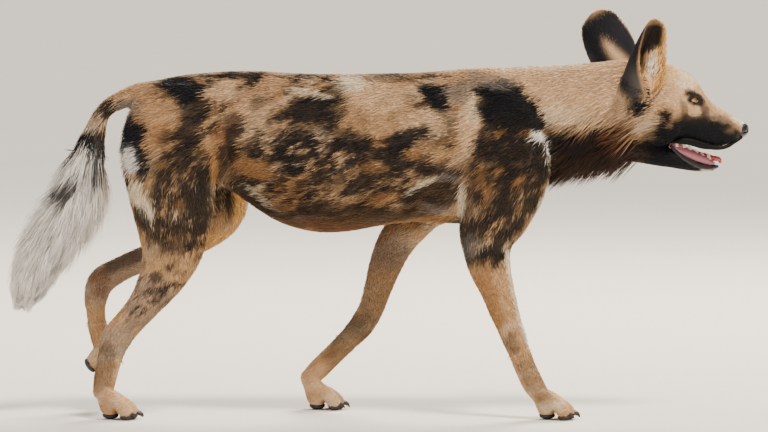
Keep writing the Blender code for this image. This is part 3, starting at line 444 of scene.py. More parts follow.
# Markings as the picture shows them, in its pixels: side, tone, column and row of the middle,
# half length, half width, angle clockwise, and strength; later ones lie over earlier ones.
# Sides: B both, R right, L left, I inner and O outer face of the left legs, T tail only
PATCHES = (
    # Trunk and neck, both sides
    ("B", "mottle", 300, 114, 155, 44, 4, 0.36),
    ("B", "mottle", 335, 172, 114, 40, 3, 0.66),
    ("B", "mottle", 310, 75, 135, 6, 1, 0.5),
    ("B", "brown", 350, 216, 95, 15, 3, 0.8),
    ("B", "rust", 330, 227, 70, 8, 2, 0.55),
    ("B", "tan", 376, 104, 34, 24, -10, 0.75),
    ("B", "buff", 366, 89, 24, 12, 3, 0.8),
    # The pale spot on the back is a painted highlight
    ("B", "pale", 354, 83, 14, 7, 0, 1.0),
    ("B", "buff", 384, 96, 22, 14, -8, 0.7),
    ("B", "buff", 427, 118, 24, 12, -18, 0.75),
    ("B", "buff", 250, 106, 26, 10, -22, 0.45),
    ("B", "dark", 333, 108, 13, 24, 10, 0.7),
    ("B", "black", 312, 108, 25, 12, -12, 0.95),
    ("B", "dark", 346, 133, 18, 8, 25, 0.5),
    # This thin pale streak is a painted highlight
    ("B", "pale", 311, 91, 18, 2.6, 12, 0.7),
    ("B", "dark", 258, 101, 6, 7, 0, 0.6),
    ("B", "dark", 224, 106, 3, 10, 5, 0.6),
    ("B", "dark", 369, 149, 18, 4.5, -8, 0.75),
    ("B", "dark", 348, 143, 14, 5, 18, 0.5),
    ("B", "black", 407, 137, 24, 8, -33, 0.95),
    ("B", "ochre", 415, 151, 9, 5.5, -15, 0.7),
    ("B", "dark", 438, 166, 28, 6.5, 8, 0.85),
    ("B", "dark", 391, 78, 30, 4, 2, 0.5),
    ("B", "black", 436, 94, 17, 11, 35, 1.0),
    ("B", "dark", 444, 106, 5, 12, 8, 0.6),
    ("B", "grey", 464, 90, 17, 13, -15, 0.75),
    ("B", "dark", 452, 127, 5, 20, 8, 0.55),
    ("B", "buff", 470, 124, 10, 30, 8, 0.85),
    ("B", "pale", 474, 106, 7, 12, 8, 0.6),
    ("B", "dark", 462, 166, 14, 8, -20, 0.4),
    ("B", "brown", 438, 193, 24, 15, 0, 0.85),
    ("B", "pale", 424, 181, 19, 2.8, -26, 0.8),
    ("B", "grey", 450, 175, 14, 3, 0, 0.7),
    ("B", "grey", 439, 207, 13, 4, 15, 0.8),
    ("B", "ochre", 424, 220, 36, 4, -8, 0.7),
    ("B", "ochre", 386, 196, 16, 6, -12, 0.5),
    ("B", "ochre", 374, 164, 12, 6, 10, 0.45),
    ("B", "dark", 340, 184, 26, 6, 10, 0.4),
    ("B", "dark", 300, 186, 18, 7, 35, 0.4),
    # Rump and thigh
    # Brown in the hollow before the thigh: painted shade of the hollow
    ("B", "brown", 232, 138, 11, 25, 10, 0.85),
    ("B", "rust", 223, 131, 5, 11, 0, 0.75),
    ("B", "black", 183, 89, 26, 12, 5, 1.0),
    ("B", "black", 193, 122, 13, 32, 6, 0.85),
    ("B", "dark", 206, 102, 12, 10, 0, 0.7),
    ("B", "buff", 222, 89, 15, 7, -20, 0.75),
    ("B", "grey", 144, 107, 14, 7, 0, 0.6),
    ("B", "tan", 160, 121, 20, 26, 8, 0.85),
    ("B", "ochre", 165, 136, 13, 14, 10, 0.55),
    ("B", "dark", 257, 149, 9, 6, 0, 0.75),
    ("B", "dark", 288, 159, 6, 7, 30, 0.6),
    ("B", "ochre", 291, 190, 14, 22, 20, 0.5),
    ("B", "mottle", 291, 182, 20, 32, 12, 0.45),
    ("B", "ochre", 257, 166, 20, 8, 8, 0.8),
    # Brown under the groin fold: painted shade under the fold
    ("B", "brown", 251, 202, 31, 11, 38, 0.9),
    ("B", "pale", 262, 196, 22, 1.9, 40, 0.6),
    ("R", "mottle", 182, 196, 33, 66, 4, 0.74),
    ("R", "dark", 194, 168, 18, 26, 12, 0.35),
    ("R", "ochre", 215, 167, 3.5, 15, 4, 0.75),
    ("R", "tan", 173, 143, 6, 3.5, -20, 0.5),
    ("R", "ochre", 163, 161, 5, 5, 0, 0.5),
    ("R", "ochre", 181, 200, 6, 4, -30, 0.45),
    ("R", "tan", 180, 240, 10, 4, -25, 0.45),
    ("R", "dark", 172, 246, 22, 9, -20, 0.7),
    ("B", "black", 131, 134, 15, 20, 12, 1.0),
    ("R", "black", 145, 161, 7, 28, 0, 0.95),
    ("R", "white", 131, 156, 6, 14, -14, 1.0),
    ("B", "black", 124, 136, 9, 11, 20, 0.9),
    ("B", "white", 121, 124, 2, 6, 35, 0.6),
    ("R", "dark", 129, 183, 5, 16, -8, 0.95),
    ("R", "pale", 143, 196, 8, 20, -22, 1.0),
    ("R", "black", 141, 214, 7, 12, -30, 0.85),
    ("R", "tan", 140, 237, 6, 12, -5, 0.8),
    # Neck, then shoulder and upper arm over it
    ("B", "buff", 556, 88, 66, 34, 2, 1.0),
    ("B", "buff", 600, 90, 40, 32, 0, 1.0),
    ("B", "buff", 552, 110, 22, 16, 12, 1.0),
    ("B", "pale", 560, 112, 26, 8, 4, 0.5),
    # A thin pale strip along the top of the neck: painted rim light
    ("B", "pale", 530, 66, 44, 6, 2, 0.7),
    ("B", "black", 507, 106, 28, 23, 22, 1.0),
    ("B", "black", 494, 92, 17, 9, 8, 0.95),
    ("B", "black", 528, 112, 19, 13, 48, 1.0),
    ("B", "grey", 490, 80, 20, 6, 12, 0.55),
    ("R", "mottle", 508, 170, 38, 54, 5, 0.78),
    ("R", "dark", 520, 150, 24, 24, 10, 0.7),
    ("R", "dark", 490, 146, 13, 14, -40, 0.75),
    ("R", "dark", 498, 182, 16, 24, 10, 0.5),
    ("R", "ochre", 499, 130, 5, 3, -20, 0.55),
    ("R", "ochre", 497, 168, 5, 4, -25, 0.5),
    ("R", "ochre", 518, 177, 6, 4, -25, 0.6),
    ("R", "ochre", 481, 172, 4, 14, 10, 0.45),
    ("R", "ochre", 543, 153, 4, 4, 0, 0.8),
    ("R", "ochre", 527, 130, 5, 3, 20, 0.7),
    ("R", "ochre", 518, 203, 5, 4, -25, 0.5),
    ("R", "ochre", 487, 190, 4, 12, 8, 0.5),
    ("R", "brown", 474, 196, 8, 18, 10, 0.7),
    ("R", "grey", 462, 238, 8, 9, 0, 0.55),
    ("R", "dark", 468, 248, 12, 6, 12, 0.5),
    ("B", "dark", 557, 152, 24, 26, 0, 0.9),
    ("B", "white", 539, 134, 9, 4.2, 15, 1.0),
    ("B", "white", 550, 147, 4.2, 12, -25, 1.0),
    ("B", "pale", 553, 163, 4.2, 12, 5, 0.95),
    ("B", "pale", 549, 178, 3, 14, 20, 0.8),
    ("R", "pale", 541, 200, 2.6, 14, 24, 0.8),
    ("R", "buff", 530, 219, 3, 11, 30, 0.75),
    ("B", "pale", 461, 200, 3.8, 17, 4, 0.85),
    # Neck and throat
    ("B", "black", 584, 136, 32, 11, -4, 1.0),
    ("B", "black", 612, 146, 34, 18, -20, 0.95),
    ("B", "brown", 604, 162, 36, 16, -20, 0.9),
    ("B", "dark", 604, 156, 42, 17, -14, 0.85),
    ("B", "rust", 620, 128, 11, 11, 0, 0.6),
    ("B", "rust", 606, 178, 30, 7, -22, 0.6),
    ("B", "tan", 590, 182, 8, 8, 0, 0.6),
    # Right legs, lower
    ("R", "tan", 166, 286, 36, 36, 20, 0.9),
    ("R", "grey", 150, 300, 30, 24, 25, 0.5),
    ("R", "mottle", 156, 288, 30, 34, 25, 0.30),
    ("R", "dark", 157, 274, 6, 5, -30, 0.8),
    ("R", "dark", 167, 281, 4.5, 2.5, 0, 0.5),
    ("R", "grey", 118, 338, 18, 18, 30, 0.5),
    ("R", "ochre", 119, 311, 5, 12, 30, 0.6),
    ("R", "brown", 106, 362, 12, 24, 15, 0.6),
    ("R", "tan", 498, 278, 34, 22, 10, 0.85),
    ("R", "mottle", 484, 236, 32, 26, 8, 0.78),
    ("R", "dark", 490, 251, 18, 6, 12, 0.6),
    ("R", "grey", 468, 242, 12, 12, 0, 0.45),
    ("R", "pale", 508, 262, 4, 13, -8, 0.9),
    ("R", "ochre", 486, 300, 12, 36, -12, 0.75),
    ("R", "pale", 512, 280, 4, 32, -10, 0.8),
    ("R", "dark", 511, 338, 6, 13, -22, 0.5),
    ("R", "white", 526, 331, 3.5, 17, -18, 1.0),
    ("R", "brown", 534, 376, 12, 24, -22, 0.45),
    ("R", "pale", 548, 402, 12, 6, 0, 0.3),
    # Left side, which the photo doesn't show
    ("L", "mottle", 198, 172, 36, 54, -12, 0.68),
    ("L", "dark", 206, 188, 16, 20, 20, 0.5),
    ("L", "black", 178, 138, 16, 18, 10, 0.8),
    ("L", "mottle", 478, 166, 46, 46, 20, 0.70),
    ("L", "black", 502, 138, 24, 14, 30, 0.85),
    ("L", "white", 455, 146, 10, 5, -20, 0.85),
    ("L", "dark", 440, 200, 18, 10, 25, 0.6),
    ("L", "ochre", 470, 188, 8, 6, 0, 0.5),
    ("O", "mottle", 398, 236, 26, 26, 20, 0.66),
    ("O", "white", 402, 262, 5, 16, 28, 0.8),
    ("O", "dark", 372, 300, 9, 16, 20, 0.6),
    ("O", "mottle", 200, 222, 26, 24, 0, 0.7),
    ("O", "dark", 160, 252, 18, 8, -20, 0.6),
    ("O", "black", 104, 296, 9, 12, 0, 0.6),
    # Left legs
    ("L", "grey", 384, 240, 26, 30, 10, 0.45),
    ("L", "brown", 372, 290, 30, 50, 20, 0.45),
    ("L", "rust", 378, 230, 14, 16, 0, 0.5),
    ("L", "brown", 352, 350, 20, 34, 30, 0.5),
    ("L", "grey", 110, 275, 40, 22, -22, 0.55),
    ("L", "dark", 126, 262, 26, 6, -26, 0.6),
    ("L", "rust", 98, 285, 10, 12, 0, 0.55),
    # Gold on the inner thigh: golden fur, brightened as painted sunlight
    ("I", "gold", 228, 214, 22, 50, 10, 1.0),
    ("I", "pale", 224, 208, 7, 16, 15, 0.7),
    # Tail
    ("B", "tan", 128, 92, 24, 8, -20, 0.8),
    ("B", "grey", 126, 103, 16, 4, -5, 0.7),
    ("B", "dark", 108, 107, 9, 8, -35, 0.95),
    ("B", "buff", 92, 124, 13, 11, 0, 0.6),
    ("B", "grey", 96, 120, 6, 12, 10, 0.4),
    ("T", "white", 50, 232, 84, 98, 0, 1.0),
    ("T", "black", 79, 141, 14, 10, -25, 1.0),
    ("T", "black", 99, 146, 12, 17, 0, 0.95),
    ("T", "dark", 73, 178, 13, 8, -38, 0.95),
)
# Markings of the head, which fade into those of the body at the nape
HEAD_PATCHES = (
    ("B", "tan", 672, 90, 50, 42, 0, 0.85),
    ("B", "buff", 668, 84, 30, 20, 25, 0.85),
    # Pale and gold on top of the crown: tan fur lightened by a painted sunlit highlight
    ("B", "pale", 676, 74, 20, 9, 30, 0.75),
    ("B", "gold", 664, 70, 14, 9, 35, 0.6),
    ("B", "buff", 640, 92, 18, 24, 0, 0.8),
    ("B", "tan", 714, 110, 26, 7, 28, 0.7),
    ("B", "grey", 712, 115, 16, 5, 28, 0.35),
    ("B", "pale", 739, 121, 7, 3, 30, 0.7),
    ("B", "dark", 703, 126, 36, 13, 12, 0.6),
    ("B", "black", 699, 131, 33, 11, 8, 1.0),
    ("B", "black", 718, 138, 22, 10, 22, 1.0),
    ("B", "black", 738, 138, 12, 7, 20, 0.9),
    ("B", "dark", 731, 131, 9, 4.5, 25, 0.6),
    ("B", "dark", 682, 110, 4.5, 12, -8, 0.55),
    ("B", "dark", 705, 111, 4.5, 11, -16, 0.65),
    ("B", "dark", 692, 119, 16, 4, 5, 0.7),
    ("B", "black", 692, 98, 11, 5.5, 20, 0.95),
    ("B", "dark", 690, 93, 7, 3.5, 15, 0.7),
    ("B", "buff", 693, 110, 7, 5, 10, 0.6),
    ("B", "black", 658, 119, 15, 8, -38, 1.0),
    ("B", "black", 668, 134, 15, 9, 0, 1.0),
    ("B", "buff", 641, 118, 15, 12, -10, 0.95),
    ("B", "pale", 644, 124, 10, 4, -20, 0.6),
    ("B", "dark", 637, 119, 8, 1.6, -20, 0.5),
    ("B", "black", 634, 98, 14, 12, 40, 1.0),
    ("B", "black", 672, 156, 52, 18, 12, 1.0),
    ("B", "black", 646, 148, 18, 10, -20, 0.8),
    ("B", "brown", 636, 152, 14, 12, 10, 0.7),
    ("B", "rust", 622, 128, 10, 12, 0, 0.6),
    ("B", "pale", 709, 170, 5, 2.6, 0, 0.8),
)

# ---------------------------------------------------------------- shapes as whole arrays


def spline(stations, steps=6):
    """Rows on the Catmull-Rom curve through the stations, by the cubic of each span."""
    p = np.array(stations, float)
    p = np.vstack([2 * p[0] - p[1], p, 2 * p[-1] - p[-2]])
    t = np.linspace(0, 1, steps, endpoint=False)[None, :, None]
    a, b, c, d = (p[i : len(p) - 3 + i, None] for i in range(4))
    cubic = 3 * b - a - 3 * c + d
    square = 2 * a - 5 * b + 4 * c - d
    rows = b + 0.5 * ((c - a) * t + square * t**2 + cubic * t**3)
    return np.vstack([rows.reshape(-1, p.shape[1]), p[-2:-1]])


def signed_power(value, power):
    """sign(v) |v|^p."""
    return np.sign(value) * np.abs(value) ** power


def trunk_rings(stations, sides=64):
    """Upright superellipses along X: |y/half|^s + |z/deep|^s = 1, widest at their level."""
    x, top, bottom, half, level, square = spline(stations).T[:, :, None]
    angle = np.linspace(0, 2 * math.pi, sides, endpoint=False)[None]
    across = signed_power(np.cos(angle), 2 / square)
    up = signed_power(np.sin(angle), 2 / square)
    middle = bottom + (top - bottom) * level
    z = middle + np.where(up > 0, (top - middle) * up, (middle - bottom) * up)
    return np.stack([x + 0 * up, -half * across, z], axis=-1)


def limb_rings(stations, sides=32, steps=6):
    """Ellipses square to a path: centre + fore * a cos(t) + side * b sin(t)."""
    rows = spline(stations, steps)
    centre = rows[:, :3]
    along = unit(np.gradient(centre, axis=0))
    side = unit(np.array([0, 1, 0]) - along * along[:, 1:2])
    depth = np.cross(along, side)
    angle = np.linspace(0, 2 * math.pi, sides, endpoint=False)[None, :, None]
    fore = depth[:, None] * np.cos(angle) * rows[:, 3][:, None, None]
    across = side[:, None] * np.sin(angle) * rows[:, 4][:, None, None]
    return centre[:, None] + fore + across


def mesh_from(name, points, faces):
    """A mesh from an array of points and an array, or a list, of faces."""
    mesh = bpy.data.meshes.new(name)
    mesh.from_pydata(np.asarray(points).tolist(), [], [list(map(int, f)) for f in faces])
    return facing_out(mesh)


def facing_out(mesh):
    """The mesh with all its faces turned outward."""
    shape = bmesh.new()
    shape.from_mesh(mesh)
    bmesh.ops.recalc_face_normals(shape, faces=shape.faces)
    if shape.calc_volume(signed=True) < 0:
        bmesh.ops.reverse_faces(shape, faces=shape.faces)
    shape.to_mesh(mesh)
    shape.free()
    return mesh


def loft(rings, name="loft"):
    """A closed mesh over rings of points, with a fan on each end."""
    rows, sides = rings.shape[:2]
    grid = np.arange(rows * sides).reshape(rows, sides)
    ahead = np.roll(grid, -1, axis=1)
    walls = np.stack([grid[:-1], ahead[:-1], ahead[1:], grid[1:]], axis=-1).reshape(-1, 4)
    first, last = rows * sides, rows * sides + 1
    fans = [(first, b, a) for a, b in zip(grid[0], ahead[0])]
    fans += [(last, a, b) for a, b in zip(grid[-1], ahead[-1])]
    points = np.vstack([rings.reshape(-1, 3), rings[0].mean(axis=0), rings[-1].mean(axis=0)])
    return mesh_from(name, points, list(walls) + fans)


def ball_points(centre, radii, turn=None, columns=32, rows=20):
    """Rings of an ellipsoid: (a cos u cos v, b sin u cos v, c sin v), turned and placed."""
    u = np.linspace(0, 2 * math.pi, columns, endpoint=False)[None]
    v = np.linspace(-math.pi / 2, math.pi / 2, rows)[1:-1, None]
    sphere = np.stack([np.cos(u) * np.cos(v), np.sin(u) * np.cos(v), np.sin(v) + 0 * u], axis=-1)
    rings = sphere * np.array(radii)
    if turn is not None:
        rings = rings @ np.array(turn).T
    return rings + np.array(centre)


def ball(centre, radii, turn=None, columns=32, rows=20):
    """A closed ellipsoid, turned and placed."""
    return loft(ball_points(centre, radii, turn, columns, rows), "ball")


def prism(outline, y_from, y_to):
    """An upright outline in X and Z, carried across from one Y to another."""
    flat = np.array(outline)
    near = np.insert(flat, 1, y_from, axis=1)
    far = np.insert(flat, 1, y_to, axis=1)
    n = len(flat)
    sides = [(i, (i + 1) % n, n + (i + 1) % n, n + i) for i in range(n)]
    caps = [list(range(n)), list(range(2 * n - 1, n - 1, -1))]
    return mesh_from("prism", np.vstack([near, far]), sides + caps)


def in_scene(name, data):
    """A new object of the scene that shows this data."""
    made = bpy.data.objects.new(name, data)
    bpy.context.scene.collection.objects.link(made)
    return made


def changed(mesh, *modifiers):
    """The mesh after modifiers, each a type with its settings."""
    helper = in_scene("helper", mesh)
    for kind, settings in modifiers:
        modifier = helper.modifiers.new(kind, kind)
        for key, value in settings.items():
            setattr(modifier, key, value)
    graph = bpy.context.evaluated_depsgraph_get()
    result = bpy.data.meshes.new_from_object(helper.evaluated_get(graph))
    bpy.data.objects.remove(helper)
    return result


def combined(mesh, other, operation):
    """One boolean of two closed meshes."""
    tool = in_scene("tool", other)
    settings = {"operation": operation, "object": tool, "solver": "MANIFOLD"}
    result = changed(mesh, ("BOOLEAN", settings))
    bpy.data.objects.remove(tool)
    return result


def together(meshes):
    """Loose meshes joined into one."""
    shape = bmesh.new()
    for mesh in meshes:
        shape.from_mesh(mesh)
    joined = bpy.data.meshes.new("joined")
    shape.to_mesh(joined)
    shape.free()
    return joined


def remeshed(meshes, voxel, soften):
    """One soft skin over meshes that cross, on a grid of one voxel."""
    remesh = ("REMESH", {"mode": "VOXEL", "voxel_size": voxel})
    smooth = ("SMOOTH", {"factor": 0.5, "iterations": soften})
    return changed(together(meshes), remesh, smooth)


def read(items, key, width=3, kind=np.float32):
    """One attribute of a mesh's items, as an array with a row for each."""
    flat = np.empty(len(items) * width, kind)
    items.foreach_get(key, flat)
    return flat.reshape(-1, width)


def points_of(mesh):
    """The places of a mesh's points."""
    return read(mesh.vertices, "co").astype(float)


def normals_of(mesh):
    """The normals of a mesh's points."""
    return read(mesh.vertex_normals, "vector").astype(float)


def paint(mesh, colours):
    """Writes a linear colour for each point, in the attribute that the materials read."""
    full = np.concatenate([colours, np.ones((*colours.shape[:-1], 1))], axis=-1)
    layer = mesh.color_attributes.new("tone", "FLOAT_COLOR", "POINT")
    layer.data.foreach_set("color", full.astype(np.float32).ravel())


def unit(vectors):
    """Each vector v as v / |v|."""
    return vectors / np.linalg.norm(vectors, axis=-1, keepdims=True)


def set_points(mesh, points):
    """The mesh with its points moved to new places."""
    mesh.vertices.foreach_set("co", points.astype(np.float32).ravel())
    mesh.update()
    return mesh


def smooth_step(low, high, value):
    """3t^2 - 2t^3 of the share of the way from low to high."""
    t = np.clip((value - low) / (high - low), 0, 1)
    return t * t * (3 - 2 * t)


def lattice(i, j, k, seed):
    """A fixed random number at each whole point: the fraction of a large sine."""
    h = np.sin(i * 127.1 + j * 311.7 + k * 74.7 + seed * 53.3) * 43758.5453
    return h - np.floor(h)


def noise(p, size, seed=0):
    """Value noise from -1 to 1: lattice numbers blended by 3t^2 - 2t^3 on each axis."""
    q = p / np.array(size)
    base = np.floor(q)
    t = q - base
    t = t * t * (3 - 2 * t)
    total = np.zeros(len(p))
    for corner in np.ndindex(2, 2, 2):
        c = np.array(corner)
        weight = np.prod(np.where(c == 1, t, 1 - t), axis=1)
        total += weight * lattice(*(base + c).T, seed)
    return 2 * total - 1


def in_radii(p, centre, radii):
    """(x/a)^2 + (y/b)^2 + (z/c)^2 from a centre: 1 on the surface of an ellipsoid."""
    return (((p - np.array(centre)) / np.array(radii)) ** 2).sum(axis=1)


def within(p, centre, radii):
    """Whether points lie inside an upright ellipsoid."""
    return in_radii(p, centre, radii) < 1


# ---------------------------------------------------------------- the head's turn


def turn_share(p):
    """How much of the head's turn each point takes: 3t^2 - 2t^3 along the neck."""
    return smooth_step(NECK_STILL, NECK_TURNED, p[:, 0])


def turned(p, sign=1.0):
    """Points of the straight head turned with it about the nape; the neck takes it up."""
    angle = sign * HEAD_YAW * turn_share(p)
    flat = p[:, :2] - NAPE[:2]
    x = flat[:, 0] * np.cos(angle) - flat[:, 1] * np.sin(angle)
    y = flat[:, 0] * np.sin(angle) + flat[:, 1] * np.cos(angle)
    return np.stack([x + NAPE[0], y + NAPE[1], p[:, 2]], axis=1)


def turned_mesh(mesh):
    """The mesh turned with the head."""
    return set_points(mesh, turned(points_of(mesh)))


def eye_frame(side):
    """Centre of an eye, and the turn that points its X the way it looks."""
    centre = np.array([EYE_CENTRE[0], side * EYE_CENTRE[1], EYE_CENTRE[2]])
    return centre, np.array(Matrix.Rotation(side * EYE_FACING, 3, "Z"))


# ---------------------------------------------------------------- markings and lie


def placed(rows, in_head=False):
    """Rows of markings in metres and degrees from the pixels of the picture."""
    made = []
    for side, tone, column, row, a, b, angle, strength in rows:
        x, z = (column - MIDDLE_COLUMN) / PIXELS_A_METRE, (FLOOR_ROW - row) / PIXELS_A_METRE
        if in_head:
            x = (x - NAPE[0] - HEAD_SLIDE) / HEAD_SHORT + NAPE[0]
        a, b = round(a / PIXELS_A_METRE, 4), round(b / PIXELS_A_METRE, 4)
        made.append((side, tone, round(x, 3), round(z, 3), a, b, -angle, strength))
    return made


def mixed(colours, tone, share):
    """Colours moved to a tone by a share of the way, which is one number a point."""
    return colours + (TONES[tone] - colours) * np.asarray(share)[..., None]


def spun(p, x, z, angle):
    """The way from (x, z) to each point, along and across an axis turned by the angle."""
    c, s = math.cos(math.radians(angle)), math.sin(math.radians(angle))
    dx, dz = p[:, 0] - x, p[:, 2] - z
    return dx * c + dz * s, dz * c - dx * s


def painted(colours, p, patches, side_of, streak):
    """Patches laid over colours, each an ellipse whose edge is frayed by noise.

    A patch covers where (u/a)^2 + (v/b)^2 + noise < 1, with u and v turned by its angle.
    """
    ragged = 0.55 * noise(p, (0.024, 0.02, 0.015), 3)
    ragged += 0.34 * noise(streak, (0.0115, 0.009, 0.0056), 4)
    mottle = 0.42 * noise(streak, (0.024, 0.024, 0.0120), 7)
    mottle += 0.50 * noise(streak, (0.0110, 0.010, 0.0060), 8)
    mottle += 0.28 * noise(streak, (0.0065, 0.006, 0.0032), 9)
    for side, tone, x, z, a, b, angle, strength in patches:
        u, v = spun(p, x, z, angle)
        far = ((u / a) ** 2 + (v / b) ** 2) * PATCH_REACH
        fray = ragged * min(1.0, 0.35 + 0.010 / min(a, b))
        cover = 1 - smooth_step(0.58, 1.36, far + fray)
        if side != "B":
            cover = cover * side_of[side]
        if tone == "mottle":
            dark = smooth_step(0.30, -0.26, mottle - (2 * strength - 1) * 0.55)
            cover = cover * dark * 0.95
            colour = TONES["dark"]
        else:
            cover = cover * strength
            colour = TONES[tone]
        colours += (colour - colours) * cover[:, None]
    return colours


def coat_colours(p):
    """The linear colour of the coat at points of the dog: patches over a mottled tan."""
    straight = turned(p, -1.0)
    right, left = p[:, 1] < 0, p[:, 1] >= 0
    slide = np.where(left & (p[:, 2] > LEG_TOP), 1.0, 0.0)
    seen = straight.copy()
    seen[:, 0] += slide * LEFT_SHIFT[0] * np.sin(straight[:, 0] * 9 + 1.0) * (straight[:, 0] < 0.28)
    seen[:, 2] += slide * LEFT_SHIFT[1] * np.cos(straight[:, 0] * 13) * (straight[:, 0] < 0.28)
    streak = seen.copy()
    streak[:, 2] += seen[:, 0] * LIE_SLOPE
    base = TONES["tan"][None] * np.ones((len(p), 1))
    pale = smooth_step(-0.2, 0.7, noise(streak, (0.05, 0.05, 0.016), 1))
    base = mixed(base, "pale", 0.35 * pale)
    warm = smooth_step(0.1, 0.8, noise(streak, (0.045, 0.05, 0.02), 2))
    base = mixed(base, "ochre", 0.45 * warm)
    inner = left & (p[:, 1] < LEG_INNER)
    tail = np.abs(p[:, 1]) < TAIL_REACH
    outer = p[:, 1] > LEG_OUTER
    sides = {"R": right, "L": left, "I": inner, "O": outer, "T": tail}
    sides = {name: which.astype(float) for name, which in sides.items()}
    body = painted(base.copy(), seen, placed(PATCHES), sides, streak)
    head = painted(base.copy(), straight, placed(HEAD_PATCHES, True), sides, streak)
    share = smooth_step(0.408, 0.438, straight[:, 0] + 0.10 * (straight[:, 2] - 0.53))[:, None]
    share = np.where((p[:, 2] > 0.40)[:, None], share, 0)
    both = body + (head - body) * share
    hair = 1 + 0.16 * noise(streak, (0.012, 0.006, 0.0022), 11)
    return both * hair[:, None]


def limb_lie(p, stations):
    """Nearness to a limb in its own radii, and the way down it, from its nearest rows."""
    rows = spline(stations, 3)
    centre, radius = rows[:, :3], rows[:, 3:5].max(axis=1)
    along = unit(np.gradient(centre, axis=0))
    far = np.linalg.norm(p[:, None] - centre[None], axis=2) / radius[None]
    weight = np.exp(-14 * (far - far.min(axis=1)[:, None]))
    weight /= weight.sum(axis=1)[:, None]
    return (far * weight).sum(axis=1), weight @ along


def lie_of(p, normals):
    """The way that hair lies: back over the trunk, down the limbs, away from the nose."""
    x, z = p[:, 0], p[:, 2]
    way = np.zeros_like(p)
    way[:, 0] = -1
    way[:, 2] = -0.30 - 0.35 * smooth_step(0.10, 0.30, x) * smooth_step(0.58, 0.48, z)
    way[:, 2] += 0.25 * smooth_step(0.36, 0.33, z)
    for stations, reach in LIMBS:
        far, along = limb_lie(p, stations)
        share = smooth_step(1.9, 0.9, far) * smooth_step(reach + 0.10, reach - 0.04, z)
        way += (along - way) * np.clip(share, 0, 1)[:, None]
    far, along = limb_lie(p, TAIL_DOCK)
    share = smooth_step(2.2, 1.0, far) * smooth_step(-0.39, -0.44, x)
    way += (along - way) * share[:, None]
    straight = turned(p, -1.0)
    from_nose = unit(straight - np.array(NOSE_TIP))
    share = smooth_step(0.42, 0.50, straight[:, 0]) * (z > HEAD_ABOVE)
    way += (from_nose - way) * share[:, None]
    swirl = noise(p, 0.05, 21)[:, None] * 0.25
    way += np.cross(normals, way) * swirl
    way -= normals * np.sum(way * normals, axis=1)[:, None]
    return way / (np.linalg.norm(way, axis=1)[:, None] + 1e-9)


# ---------------------------------------------------------------- the skin


def coat_depth(p):
    """How far the skin lies under the tips of the coat, in metres."""
    x, z = p[:, 0], p[:, 2]
    depth = 0.0011 + 0.0009 * smooth_step(0.04, 0.14, z) + 0.0014 * smooth_step(0.26, 0.36, z)
    head = smooth_step(0.42, 0.50, x) * (z > HEAD_ABOVE)
    return depth + (0.0012 - depth) * head


def paw_parts(stations, yaw, tilt, stands):
    """Flesh of one paw, its pads and its claws, under the last joint of its leg."""
    joint = np.array(stations[-1][:3])
    high = joint[2] if stands else LIFTED_JOINT
    turn = Matrix.Rotation(yaw, 4, "Z") @ Matrix.Rotation(tilt, 4, "Y")
    place = Matrix.Translation(joint.tolist()) @ turn @ Matrix.Translation((0, 0, -high))
    fore, across = stations[-1][3:5]
    pastern = (
        (-0.001, 0, high, fore * 0.98, across),
        (0.003, 0, 0.018 + high * 0.5, 0.0165, 0.0190),
        (0.009, 0, 0.0240, 0.0160, 0.0190),
        (0.013, 0, 0.0130, 0.0150, 0.0180),
        (0.014, 0, 0.0060, 0.0115, 0.0140),
    )
    flesh = [ball((0, 0, high), (fore, across, fore)), loft(limb_rings(pastern, 24))]
    pads = [ball((0.013, 0, 0.0070), (0.0140, 0.0150, 0.0068))]
    claws = []
    for side in (-1.5, -0.5, 0.5, 1.5):
        long = 1.0 if abs(side) < 1 else 0.78
        spread = side * TOE_PITCH
        toe = (
            (-0.002, spread * 0.80, high, 0.0125, 0.0085),
            (0.016, spread * 0.95, 0.037, 0.0124, 0.0086),
            (0.018 + 0.018 * long, spread * 1.10, 0.0260, 0.0122, 0.0088),
            (0.018 + 0.031 * long, spread * 1.15, 0.0140, 0.0130, 0.0086),
            (0.018 + 0.040 * long, spread * 1.15, 0.0080, 0.0085, 0.0068),
        )
        flesh.append(loft(limb_rings(toe, 24)))
        pads.append(ball((0.016 + 0.033 * long, spread * 1.15, 0.0056), (0.0105, 0.0068, 0.0054)))
        claw = (
            (0.014 + 0.040 * long, spread * 1.15, 0.0125, 0.0040, 0.0030),
            (0.0195 + 0.041 * long, spread * 1.16, 0.0120, 0.0036, 0.0027),
            (0.0235 + 0.043 * long, spread * 1.17, 0.0090, 0.0026, 0.0020),
            (0.0260 + 0.044 * long, spread * 1.19, 0.0042, 0.0006, 0.0006),
        )
        claws.append(loft(limb_rings(claw, 12, 4)))
    for mesh in flesh + pads + claws:
        mesh.transform(place)
    return flesh, pads, claws


def relief(p, normals):
    """Muscle and bone under the skin: swells of height * exp(-(u/a)^2 - (v/b)^2)."""
    move = np.zeros(len(p))
    for x, z, a, b, angle, height in RELIEF:
        u, v = spun(p, x, z, angle)
        move += height * np.exp(-((u / a) ** 2) - (v / b) ** 2)
    sideways = smooth_step(0.25, 0.8, np.abs(normals[:, 1]))
    ribs = 0.0007 * np.sin((p[:, 0] + 0.35 * p[:, 2]) * 2 * math.pi / RIB_PITCH)
    caged = smooth_step(-0.17, -0.12, p[:, 0]) * smooth_step(0.10, 0.04, p[:, 0])
    caged *= smooth_step(0.35, 0.38, p[:, 2]) * smooth_step(0.56, 0.50, p[:, 2])
    return (move + ribs * caged) * sideways * (p[:, 0] < 0.40)


